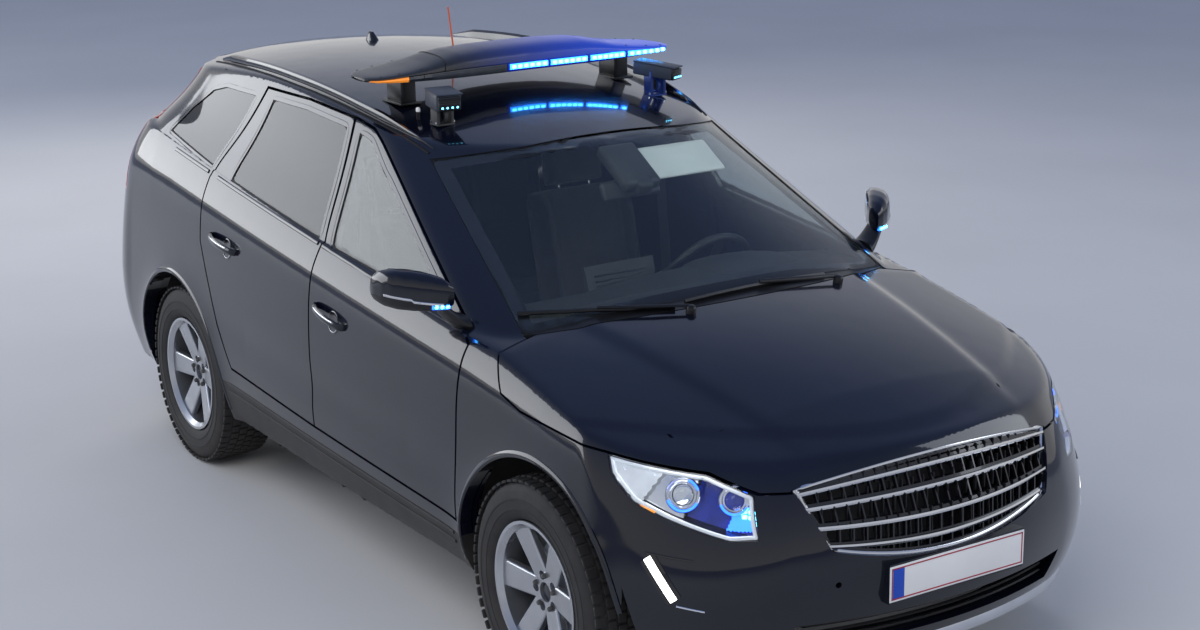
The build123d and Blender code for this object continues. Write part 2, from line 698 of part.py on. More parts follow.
# Front rails, from the firewall to the bumper
with BuildPart() as front_rails:
    add(both_boxes((RAIL_INNER_X, RAIL_FRONT_Y, RAIL_LOW_Z), (RAIL_OUTER_X, firewall_front_y, RAIL_HIGH_Z)))
    add(cavity, mode=Mode.INTERSECT)
write(front_rails.part, "front_rails")

# Wheelhouse liners, with the bonnet's stops on the front ones
above_sills = box_between((-WIDE, -2400, FLOOR_Z), (WIDE, 2400, 1100))
bonnet_stop = carve(upright_tube(STRUT_X, FRONT_AXLE_Y, STRUT_RADIUS, 840, 930), extra=[
    carve(upright_tube(STRUT_X, FRONT_AXLE_Y, STOP_RADIUS, 900, 1200), keep=[under_seal])
])
with BuildPart() as wheelhouses:
    for form in with_mirrors(liner_drums()):
        add(form)
    add(above_sills, mode=Mode.INTERSECT)
    add(cavity, mode=Mode.INTERSECT)
    for form in with_mirrors([bonnet_stop]):
        add(form)
    for form in with_mirrors([front_house, rear_house]):
        add(form, mode=Mode.SUBTRACT)
write(wheelhouses.part, "wheelhouses")

# Engine, one plain block between the rails
write(
    box_between(
        (-RAIL_INNER_X + SEAT_GAP, ENGINE_FRONT_Y, ENGINE_LOW_Z),
        (RAIL_INNER_X - SEAT_GAP, ENGINE_BACK_Y, ENGINE_TOP_Z),
    ),
    "engine",
)

# Front axle: a cross beam on the rails, two lower arms and two struts
axle_z = TYRE_RADIUS
front_axle_forms = [
    box_between(
        (-BEAM_HALF_WIDTH, FRONT_AXLE_Y - 80, FRONT_BEAM_Z[0]),
        (BEAM_HALF_WIDTH, FRONT_AXLE_Y + 80, FRONT_BEAM_Z[1]),
    ),
    both_boxes((360, FRONT_AXLE_Y - 40, 290), (420, FRONT_AXLE_Y + 40, RAIL_LOW_Z - SEAT_GAP)),
    both_boxes((400, FRONT_AXLE_Y - 30, ARM_LOW_Z), (KINGPIN_X, FRONT_AXLE_Y + 30, ARM_HIGH_Z)),
    *with_mirrors([upright_tube(KINGPIN_X, FRONT_AXLE_Y, 32, ARM_LOW_Z, ARM_HIGH_Z)]),
]
with BuildPart() as front_axle:
    for form in front_axle_forms:
        add(form)
write(front_axle.part, "front_axle")
strut_top_z = axle_z + math.sqrt(FRONT_HOUSE_RADIUS**2 - STRUT_RADIUS**2) - SEAT_GAP
strut_forms = with_mirrors([
    upright_tube(STRUT_X, FRONT_AXLE_Y, STRUT_ROD_RADIUS, KNUCKLE_TOP_Z + SEAT_GAP, 640),
    upright_tube(STRUT_X, FRONT_AXLE_Y, STRUT_RADIUS, 620, strut_top_z),
])
with BuildPart() as struts:
    for form in strut_forms:
        add(form)
write(struts.part, "struts")


def hub_carrier(track, axle_y):
    """The carrier inside a left wheel, with its spindle, upright and brake caliper."""
    centre_x = track / 2
    inner_x = centre_x - 81
    disc_room = cross_drum(
        axle_y, axle_z, DISC_RADIUS + CALIPER_GAP, centre_x - DISC_IN - DISC_THICKNESS - CALIPER_GAP,
        centre_x - DISC_IN + CALIPER_GAP,
    )
    caliper = carve(
        box_between((centre_x - 60, axle_y + 100, axle_z - 55), (centre_x + 10, axle_y + 176, axle_z + 55)),
        remove=[disc_room],
    )
    with BuildPart() as carrier:
        for form in (
            cross_drum(axle_y, axle_z, 70, inner_x, inner_x + 32),
            cross_drum(axle_y, axle_z, SPINDLE_RADIUS, inner_x, centre_x + 14),
            box_between((inner_x, axle_y + 30, axle_z - 28), (inner_x + 24, axle_y + 170, axle_z + 28)),
            caliper,
        ):
            add(form)
    return carrier.part


knuckle_forms = [
    box_between(
        (KINGPIN_X - 32, FRONT_AXLE_Y - 32, ARM_HIGH_Z + SEAT_GAP),
        (FRONT_TRACK / 2 - 60, FRONT_AXLE_Y + 32, KNUCKLE_TOP_Z),
    ),
    box_between(
        (STRUT_X - 36, FRONT_AXLE_Y - 45, KNUCKLE_TOP_Z - 28), (KINGPIN_X, FRONT_AXLE_Y + 45, KNUCKLE_TOP_Z)
    ),
    hub_carrier(FRONT_TRACK, FRONT_AXLE_Y),
]
with BuildPart() as knuckle:
    for form in knuckle_forms:
        add(form)
write_pair(knuckle.part, "knuckle")

# Rear axle: a cross beam under the boot floor with arms to its hub carriers
rear_inner_x = REAR_TRACK / 2 - 81
rear_axle_forms = [
    box_between(
        (-BEAM_HALF_WIDTH, REAR_AXLE_Y - 90, REAR_BEAM_Z[0]),
        (BEAM_HALF_WIDTH, REAR_AXLE_Y + 90, REAR_BEAM_Z[1]),
    ),
    both_boxes(
        (330, REAR_AXLE_Y - 40, 320), (400, REAR_AXLE_Y + 40, BOOT_FLOOR_Z - FLOOR_THICKNESS - SEAT_GAP)
    ),
    both_boxes(
        (400, REAR_AXLE_Y - 35, REAR_ARM_Z[0]), (rear_inner_x + 30, REAR_AXLE_Y + 35, REAR_ARM_Z[1])
    ),
    both_boxes(
        (rear_inner_x - 30, REAR_AXLE_Y - 35, REAR_ARM_Z[0]), (rear_inner_x + 30, REAR_AXLE_Y + 35, 480)
    ),
    *with_mirrors([hub_carrier(REAR_TRACK, REAR_AXLE_Y)]),
]
with BuildPart() as rear_axle:
    for form in rear_axle_forms:
        add(form)
write(rear_axle.part, "rear_axle")


def wheel_rim(track, axle_y):
    """A left wheel's rim with its spokes, hub and brake disc."""
    centre = Plane((track / 2, axle_y, axle_z), x_dir=(0, 1, 0), z_dir=(1, 0, 0))
    half = RIM_WIDTH / 2
    bead = RIM_RADIUS - RIM_LIP
    inside = bead - RIM_BARREL_THICKNESS
    face = HUB_FACE_OUT
    with BuildPart(mode=Mode.PRIVATE) as rim:
        with BuildSketch(Plane.XZ):
            with BuildLine():
                Polyline(
                    (inside, -half + 8), (bead + 6, -half - 8), (RIM_RADIUS, -half - 8),
                    (RIM_RADIUS, -half), (bead, -half), (bead, half), (RIM_RADIUS, half),
                    (RIM_RADIUS, half + 8), (bead + 6, half + 8), (inside, half - 8), close=True,
                )
            make_face()
            with BuildLine():
                Polyline(
                    (0, -DISC_IN - DISC_THICKNESS - 6), (40, -DISC_IN - DISC_THICKNESS - 6),
                    (40, -DISC_IN - DISC_THICKNESS), (DISC_RADIUS, -DISC_IN - DISC_THICKNESS),
                    (DISC_RADIUS, -DISC_IN), (HUB_RADIUS, -DISC_IN), (HUB_RADIUS, face - 8),
                    (HUB_RADIUS - 12, face), (0, face), close=True,
                )
            make_face()
        revolve(axis=Axis.Z)
    with BuildPart(mode=Mode.PRIVATE) as spoke:
        with BuildSketch(Plane.YZ.offset(HUB_RADIUS - 20)):
            with Locations((0, face - SPOKE_THICKNESS / 2)):
                RectangleRounded(SPOKE_ROOT_WIDTH, SPOKE_THICKNESS, 8)
        with BuildSketch(Plane.YZ.offset(inside + 3)):
            with Locations((0, face + SPOKE_DISH - SPOKE_THICKNESS / 2)):
                RectangleRounded(SPOKE_TIP_WIDTH, SPOKE_THICKNESS - 8, 8)
        loft()
    with BuildPart(mode=Mode.PRIVATE) as wheel:
        add(rim.part)
        with PolarLocations(0, SPOKE_COUNT):
            add(spoke.part)
        with Locations((0, 0, face)):
            Hole(CENTRE_BORE_RADIUS, depth=14)
            with PolarLocations(BOLT_CIRCLE / 2, BOLT_COUNT):
                CounterBoreHole(BOLT_HOLE_RADIUS, BOLT_POCKET_RADIUS, 18, depth=40)
        with Locations(Location((0, 0, -DISC_IN - DISC_THICKNESS - 6), (180, 0, 0))):
            Hole(SPINDLE_RADIUS + SEAT_GAP, depth=60)
    return centre.location * wheel.part


def wheel_tyre(track, axle_y):
    """A tyre with round shoulders and four grooves round its crown."""
    centre = Plane((track / 2, axle_y, axle_z), x_dir=(0, 1, 0), z_dir=(1, 0, 0))
    bead = RIM_RADIUS - RIM_LIP + SEAT_GAP
    half = TYRE_WIDTH / 2
    foot = RIM_WIDTH / 2 - SEAT_GAP
    lip = RIM_RADIUS + SEAT_GAP
    edge = TYRE_RADIUS - TYRE_SHOULDER / 2
    with BuildPart(mode=Mode.PRIVATE) as tyre:
        with BuildSketch(Plane.XZ):
            with BuildLine():
                Polyline((lip, -foot), (bead, -foot), (bead, foot), (lip, foot))
                ThreePointArc((lip, foot), ((lip + edge) / 2, half), (edge, half - 12))
                crown = (TYRE_RADIUS, half - TYRE_SHOULDER)
                ThreePointArc((edge, half - 12), (TYRE_RADIUS - 5, half - 24), crown)
                Line(crown, (crown[0], -crown[1]))
                ThreePointArc((crown[0], -crown[1]), (TYRE_RADIUS - 5, -half + 24), (edge, -half + 12))
                ThreePointArc((edge, -half + 12), ((lip + edge) / 2, -half), (lip, -foot))
            make_face()
            for w in (-48, -16, 16, 48):
                with Locations((TYRE_RADIUS, w)):
                    Rectangle(2 * GROOVE_DEPTH, GROOVE_WIDTH, mode=Mode.SUBTRACT)
        revolve(axis=Axis.Z)
    return centre.location * tyre.part


for name, track, axle_y in [("front", FRONT_TRACK, FRONT_AXLE_Y), ("rear", REAR_TRACK, REAR_AXLE_Y)]:
    write_pair(wheel_rim(track, axle_y), f"{name}_wheel")
    write_pair(wheel_tyre(track, axle_y), f"{name}_tyre")

# Dashboard, steering column and centre console
cabin_space = envelope(DOOR_THICKNESS + 10, 70, PILLAR_THICKNESS + 10, ROOF_THICKNESS + 10)
DASHBOARD = [
    (FIREWALL_Y + SEAT_GAP, 620), (FIREWALL_Y + SEAT_GAP, 1050), (-900, 1072), (-700, 1062),
    (-640, 1010), (-665, 880), (-800, 700), (-880, 640),
]
with BuildPart() as dash_form:
    with BuildSketch(Plane.YZ.offset(-DASH_HALF_WIDTH)):
        with BuildLine():
            Polyline(*DASHBOARD, close=True)
        make_face()
    extrude(amount=2 * DASH_HALF_WIDTH)
wheel_plane = Plane(STEERING_CENTRE, x_dir=(1, 0, 0), z_dir=STEERING_NORMAL)
column_drop = 2 * STEERING_RIM_RADIUS + SEAT_GAP + COLUMN_LENGTH / 2
column = (
    wheel_plane.location * Pos(0, 0, -column_drop)
    * Cylinder(COLUMN_RADIUS, COLUMN_LENGTH, mode=Mode.PRIVATE)
)
dash = carve(dash_form.part, keep=[cabin_space], remove=with_mirrors(liner_rooms[:1]))
write(carve(dash, extra=[column]), "dashboard")

with BuildPart(wheel_plane) as steering_wheel:
    Torus(STEERING_RADIUS, STEERING_RIM_RADIUS)
    with Locations((0, 0, -STEERING_RIM_RADIUS)):
        Cylinder(STEERING_PAD_RADIUS, 2 * STEERING_RIM_RADIUS)
    with PolarLocations(0, 3, start_angle=-90):
        with Locations((STEERING_RADIUS / 2, 0, -STEERING_SPOKE[1] / 2)):
            Box(STEERING_RADIUS, *STEERING_SPOKE)
write(steering_wheel.part, "steering_wheel")

with BuildPart() as console:
    with BuildSketch(Plane.YZ.offset(-CONSOLE_HALF_WIDTH)):
        with BuildLine():
            Polyline(
                (-640, TUNNEL_TOP_Z + SEAT_GAP), (-640, 700), (-420, 660), (-100, 650), (-80, 720),
                (240, 720), (260, TUNNEL_TOP_Z + SEAT_GAP), close=True,
            )
        make_face()
    extrude(amount=2 * CONSOLE_HALF_WIDTH)
    with Locations(TERMINAL_POST):
        Cylinder(TERMINAL_POST_RADIUS, TERMINAL_POST_HEIGHT)
    with Locations(Location(TERMINAL_PLACE, (TERMINAL_TILT, 0, 0))):
        Box(*TERMINAL_SIZE)
    fillet(console.edges().filter_by(Axis.X).group_by(Axis.Z)[-3], 4)
write(console.part, "console")

# Seats: a side profile across each seat's width, on two runners
SEAT_PROFILE = [
    (-330, 560), (-350, 612), (-320, 642), (120, 606), (196, 640), (318, 1150), (350, 1172),
    (398, 1160), (410, 1120), (300, 560), (250, 500), (-60, 500),
]
HEADREST = [(338, 1180), (330, 1330), (352, 1356), (410, 1340), (420, 1200), (400, 1176)]


def seat_form(profile, half_width):
    """A closed side profile, across a width about the middle of the car."""
    with BuildPart(mode=Mode.PRIVATE) as form:
        with BuildSketch(Plane.YZ.offset(-half_width)):
            with BuildLine():
                Polyline(*profile, close=True)
            make_face()
        extrude(amount=2 * half_width)
    return form.part


runners = [
    box_between(
        (side * RUNNER_X - RUNNER_HALF_WIDTH, -260, floor_top_z + SEAT_GAP),
        (side * RUNNER_X + RUNNER_HALF_WIDTH, 220, 540),
    )
    for side in (-1, 1)
]
posts = [
    box_between((side * POST_X - POST_HALF_WIDTH, 352, 1150), (side * POST_X + POST_HALF_WIDTH, 372, 1220))
    for side in (-1, 1)
]
front_seat = carve(
    seat_form(SEAT_PROFILE, SEAT_HALF_WIDTH),
    extra=[*runners, *posts, seat_form(HEADREST, HEADREST_HALF_WIDTH)],
)
write_pair(Pos(SEAT_X, 0, 0) * front_seat, "front_seat")
BENCH = [
    (560, 600), (545, 640), (570, 668), (900, 640), (1010, 1230), (1040, 1250), (1095, 1240),
    (1095, BOOT_FLOOR_Z + SEAT_GAP), (955, BOOT_FLOOR_Z + SEAT_GAP), (955, floor_top_z + SEAT_GAP),
    (700, floor_top_z + SEAT_GAP), (680, 520),
]
write(carve(seat_form(BENCH, BENCH_HALF_WIDTH), remove=[box_between(
    (-TUNNEL_HALF_WIDTH - 1, 500, 300), (TUNNEL_HALF_WIDTH + 1, 1000, TUNNEL_TOP_Z + SEAT_GAP)
)]), "rear_bench")

# Light bar: a gull-wing cover with lens strips under its front edge, on two feet
BAR_PLAN = [(0, 30), (380, 62), (640, 150), (668, 215), (640, 285), (380, 318), (0, 335)]


def bar_plan(grow=0.0):
    """The bar's plan outline, with a curved front edge and rounded tips."""
    with BuildPart(mode=Mode.PRIVATE) as form:
        with BuildSketch(Plane.XY.offset(1600)):
            with BuildLine():
                left = BAR_PLAN
                right = [(-x, y) for x, y in BAR_PLAN]
                ThreePointArc(right[2], left[0], left[2])
                ThreePointArc(left[2], left[3], left[4])
                ThreePointArc(left[4], left[6], right[4])
                ThreePointArc(right[4], right[3], right[2])
            make_face()
            if grow:
                offset(amount=grow)
        extrude(amount=300)
    return form.part


def bar_band(low_middle, low_end, high_middle, high_end):
    """A band seen from the front, between two arches."""
    return arched_prism(
        (680, low_end, low_middle), (680.5, high_end, high_middle), 0, 400
    )


bar_cover = carve(bar_plan(), keep=[bar_band(1762, 1716, 1796, 1738)])
bar_base = carve(
    bar_plan(-34), keep=[bar_band(1700, 1698, 1762, 1716)],
    remove=[box_between((-LENS_HALF_WIDTH, 0, LENS_FLOOR_Z), (LENS_HALF_WIDTH, LENS_BACK_Y, LENS_ROOF_Z))],
)
bar_feet = [carve(form, remove=[outer]) for form in with_mirrors([box_between(*BAR_FOOT)])]
write(carve(bar_cover, extra=[bar_base, *bar_feet]), "light_bar")
lens_end_x = LENS_HALF_WIDTH - 1
lens_room = box_between((-lens_end_x, 0, LENS_FLOOR_Z), (lens_end_x, LENS_BACK_Y - SEAT_GAP, LENS_ROOF_Z))
write(
    carve(bar_plan(-12), keep=[bar_band(1715, 1706, 1762 - SEAT_GAP, 1716 - SEAT_GAP), lens_room]),
    "light_bar_lens",
)

# Two camera pods ahead of the bar's feet, and the roof's aerials
pod_forms = [
    box_between(*POD_BODY),
    box_between(*POD_HOOD),
    carve(box_between(*POD_FOOT), remove=[outer]),
]
with BuildPart() as pod:
    for form in pod_forms:
        add(form)
with BuildPart() as roof_cameras:
    add(pod.part)
    add(mirrored(pod.part))
write(roof_cameras.part, "roof_cameras")

FIN = [(1240, 1600), (1262, 1672), (1330, 1712), (1380, 1722), (1400, 1700), (1410, 1600)]
fin_form = seat_form(FIN, FIN_HALF_WIDTH)
whip_form = (
    Pos(*WHIP_FOOT) * Rot(WHIP_TILT, 0, 0) * Pos(0, 0, WHIP_RISE)
    * Cylinder(WHIP_RADIUS, WHIP_LENGTH, mode=Mode.PRIVATE)
)
with BuildPart() as aerials:
    for form in (carve(fin_form, remove=[outer]), carve(whip_form, remove=[outer])):
        add(form)
write(aerials.part, "aerials")

# Door mirrors on short arms
MIRROR_SECTIONS = [(905, 60, 52), (940, 96, 66), (1000, 92, 68), (1050, 62, 48)]
with BuildPart() as mirror_form:
    for x, half_depth, half_height in MIRROR_SECTIONS:
        with BuildSketch(Plane.YZ.offset(x)):
            with Locations((-790, 1205)):
                RectangleRounded(2 * half_depth, 2 * half_height, 40)
    loft()
mirror_arm = carve(box_between((800, -830, 1128), (960, -760, 1160)), remove=[outer])
write_pair(carve(mirror_form.part, extra=[mirror_arm]), "mirror")

# Grille insert: arched bars and upright ribs in a thin frame, bent to the nose's plan curve
with BuildPart() as grille_bend:
    for section in GRILLE_BEND:
        with BuildSketch(Plane.XY.offset(section.z)):
            with BuildLine():
                front = section.nose_y
                back = front + GRILLE_THICKNESS
                sweep_back = section.sweep_back
                ThreePointArc((-550, front + sweep_back), (0, front), (550, front + sweep_back))
                Line((550, front + sweep_back), (550, back + sweep_back))
                ThreePointArc((550, back + sweep_back), (0, back), (-550, back + sweep_back))
                Line((-550, back + sweep_back), (-550, front + sweep_back))
            make_face()
    loft(ruled=True)


grille_inside = arched_face(GRILLE_BOTTOM, GRILLE_TOP, GRILLE_CUT_Y, -GRILLE_FRAME)
with BuildSketch(Plane.XZ.offset(-GRILLE_CUT_Y)) as lattice:
    for z, arch in GRILLE_BARS:
        bar_top = z + GRILLE_BAR_HEIGHT
        add(arched_face(
            (GRILLE_HALF_WIDTH, z, z + arch), (GRILLE_HALF_WIDTH, bar_top, bar_top + arch), GRILLE_CUT_Y
        ))
    with Locations((0, GRILLE_MIDDLE_Z)):
        with GridLocations(GRILLE_RIB_PITCH, 1, GRILLE_RIB_COUNT, 1):
            Rectangle(GRILLE_RIB_WIDTH, GRILLE_RIB_HEIGHT)
    add(grille_inside, mode=Mode.INTERSECT)
with BuildPart() as grille:
    with BuildSketch(Plane.XZ.offset(-GRILLE_CUT_Y)):
        add(arched_face(GRILLE_BOTTOM, GRILLE_TOP, GRILLE_CUT_Y, -SEAT_GAP))
        add(grille_inside, mode=Mode.SUBTRACT)
        add(lattice.sketch)
    extrude(amount=-GRILLE_CUT_Y)
    add(grille_bend.part, mode=Mode.INTERSECT)
write(grille.part, "grille")

# Exhaust: a pipe under the floor and over the rear cross beam, a silencer and two tail pipes
with BuildPart() as front_pipe:
    with BuildLine() as pipe_line:
        FilletPolyline(
            (PIPE_X, -900, PIPE_LOW_Z), (PIPE_X, 1070, PIPE_LOW_Z), (PIPE_X, 1215, PIPE_HIGH_Z),
            (PIPE_X, 1720, PIPE_HIGH_Z), radius=120,
        )
    with BuildSketch(Plane((PIPE_X, -900, PIPE_LOW_Z), x_dir=(1, 0, 0), z_dir=(0, 1, 0))):
        Circle(PIPE_RADIUS)
    sweep()
exhaust_forms = [
    front_pipe.part,
    box_between((-470, SILENCER_Y, 250), (470, SILENCER_Y + 190, 400)),
    *with_mirrors([
        Pos(TAIL_PIPE_X, 2080, TAIL_PIPE_Z) * Rot(90, 0, 0)
        * Cylinder(TAIL_PIPE_RADIUS, 420, mode=Mode.PRIVATE),
        box_between(
            (TAIL_PIPE_X - 20, SILENCER_Y + 60, 390),
            (TAIL_PIPE_X + 20, SILENCER_Y + 100, BOOT_FLOOR_Z - FLOOR_THICKNESS - SEAT_GAP),
        ),
    ]),
]
with BuildPart() as exhaust:
    for form in exhaust_forms:
        add(form)
write(exhaust.part, "exhaust")
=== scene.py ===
import json
import logging
import math
from collections.abc import Callable, Iterable, Sequence
from dataclasses import dataclass, field
from enum import Enum

import bmesh
import bpy
import numpy as np
from mathutils import Matrix, Vector
from mathutils.bvhtree import BVHTree
from mathutils.kdtree import KDTree
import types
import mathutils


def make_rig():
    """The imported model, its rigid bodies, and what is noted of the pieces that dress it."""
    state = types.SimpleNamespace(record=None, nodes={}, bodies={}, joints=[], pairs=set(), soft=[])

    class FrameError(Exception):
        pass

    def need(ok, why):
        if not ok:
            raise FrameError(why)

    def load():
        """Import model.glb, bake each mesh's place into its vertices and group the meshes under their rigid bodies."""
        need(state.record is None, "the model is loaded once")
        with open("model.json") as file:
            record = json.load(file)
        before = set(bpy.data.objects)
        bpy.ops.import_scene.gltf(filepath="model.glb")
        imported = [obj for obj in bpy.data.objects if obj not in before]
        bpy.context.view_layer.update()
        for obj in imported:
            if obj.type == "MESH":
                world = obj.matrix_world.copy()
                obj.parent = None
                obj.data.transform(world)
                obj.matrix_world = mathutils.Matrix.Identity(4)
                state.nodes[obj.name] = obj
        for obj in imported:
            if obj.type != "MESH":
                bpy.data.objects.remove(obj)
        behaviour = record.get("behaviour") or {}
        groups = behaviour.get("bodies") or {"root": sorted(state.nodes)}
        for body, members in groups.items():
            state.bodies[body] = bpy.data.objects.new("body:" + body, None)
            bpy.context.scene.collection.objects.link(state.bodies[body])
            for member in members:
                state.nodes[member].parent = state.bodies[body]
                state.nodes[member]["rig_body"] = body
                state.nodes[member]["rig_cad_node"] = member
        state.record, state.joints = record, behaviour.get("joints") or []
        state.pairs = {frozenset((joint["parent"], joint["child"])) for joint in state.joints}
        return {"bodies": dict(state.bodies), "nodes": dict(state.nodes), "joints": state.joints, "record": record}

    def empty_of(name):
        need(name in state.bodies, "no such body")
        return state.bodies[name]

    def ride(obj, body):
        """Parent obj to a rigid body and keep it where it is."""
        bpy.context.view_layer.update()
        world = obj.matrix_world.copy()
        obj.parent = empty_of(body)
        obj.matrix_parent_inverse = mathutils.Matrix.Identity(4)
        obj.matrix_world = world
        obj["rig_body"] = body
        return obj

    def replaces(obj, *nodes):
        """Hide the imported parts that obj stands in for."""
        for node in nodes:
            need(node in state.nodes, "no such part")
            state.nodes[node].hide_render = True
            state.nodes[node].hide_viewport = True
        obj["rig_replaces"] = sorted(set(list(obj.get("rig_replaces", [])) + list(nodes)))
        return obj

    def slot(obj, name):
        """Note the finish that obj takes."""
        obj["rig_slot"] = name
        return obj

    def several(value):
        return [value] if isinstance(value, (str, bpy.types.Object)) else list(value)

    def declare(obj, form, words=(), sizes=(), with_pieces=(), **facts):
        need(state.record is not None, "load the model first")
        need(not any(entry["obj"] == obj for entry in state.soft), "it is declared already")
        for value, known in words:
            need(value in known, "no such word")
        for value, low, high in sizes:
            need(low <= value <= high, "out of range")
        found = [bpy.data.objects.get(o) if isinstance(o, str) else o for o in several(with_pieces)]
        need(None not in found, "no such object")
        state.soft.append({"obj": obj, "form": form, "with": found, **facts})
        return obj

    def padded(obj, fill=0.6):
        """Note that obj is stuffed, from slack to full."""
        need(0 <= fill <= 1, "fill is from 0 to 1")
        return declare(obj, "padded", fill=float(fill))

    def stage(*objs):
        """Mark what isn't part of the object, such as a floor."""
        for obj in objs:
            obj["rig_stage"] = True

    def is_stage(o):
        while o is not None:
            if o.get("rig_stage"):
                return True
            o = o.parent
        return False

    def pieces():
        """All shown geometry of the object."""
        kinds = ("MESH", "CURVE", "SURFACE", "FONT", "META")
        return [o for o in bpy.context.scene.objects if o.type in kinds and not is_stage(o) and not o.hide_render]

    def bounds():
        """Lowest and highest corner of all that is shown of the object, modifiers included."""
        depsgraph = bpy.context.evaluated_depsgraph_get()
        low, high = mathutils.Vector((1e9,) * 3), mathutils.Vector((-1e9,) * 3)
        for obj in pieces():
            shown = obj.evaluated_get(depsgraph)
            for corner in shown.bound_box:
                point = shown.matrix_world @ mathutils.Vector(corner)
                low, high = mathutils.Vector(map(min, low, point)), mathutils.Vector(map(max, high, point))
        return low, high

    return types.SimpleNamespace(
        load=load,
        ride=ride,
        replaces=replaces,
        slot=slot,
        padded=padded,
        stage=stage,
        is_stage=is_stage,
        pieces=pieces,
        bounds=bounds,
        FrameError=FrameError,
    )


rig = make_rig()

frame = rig.load()
CAD_BOX = [list(corner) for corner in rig.bounds()]

LOG = logging.getLogger("patrol_car")
logging.basicConfig(level=logging.INFO, format="%(message)s")

Point = tuple[float, float, float]
Pair = tuple[float, float]
Shape = tuple[list, list]
SIDES: dict[str, int] = {"left": 1, "right": -1}
ORIGIN: Point = (0, 0, 0)
UP: Point = (0, 0, 1)


class Slot(Enum):
    """The record's material slots that pieces take their finish from."""

    PAINT = "paint"
    DARK_TRIM = "dark_trim"
    GLASS = "glass"
    LAMP_LENS = "lamp_lens"
    RED_LENS = "red_lens"
    BLUE_LENS = "blue_lens"
    ALLOY = "alloy"
    TYRE = "tyre"
    SEAT = "seat"
    INTERIOR = "interior"
    STEEL = "steel"
    BRIGHT = "bright"


@dataclass(frozen=True)
class Graph:
    """A node tree that is filled node by node."""

    tree: bpy.types.NodeTree

    def add(self, kind: str, inputs: dict | None = None, **settings: object) -> bpy.types.Node:
        """Adds one node.

        Args:
            kind: its type.
            inputs: a value or another node's socket for each input, by name or number.
            settings: its other properties.

        Returns:
            The node.
        """
        node = self.tree.nodes.new(kind)
        for name, value in settings.items():
            setattr(node, name, value)
        self.feed(node, inputs or {})
        return node

    def feed(self, node: bpy.types.Node, inputs: dict) -> None:
        """Sets a node's inputs, or links them where a socket is given.

        Args:
            node: the node.
            inputs: a value or another node's socket for each input, by name or number.
        """
        for name, value in inputs.items():
            if isinstance(value, bpy.types.NodeSocket):
                self.tree.links.new(value, node.inputs[name])
            else:
                node.inputs[name].default_value = value

    def math(self, operation: str, first: object, second: object) -> bpy.types.NodeSocket:
        """The result of a sum or product of two values."""
        return self.add("ShaderNodeMath", {0: first, 1: second}, operation=operation).outputs[0]


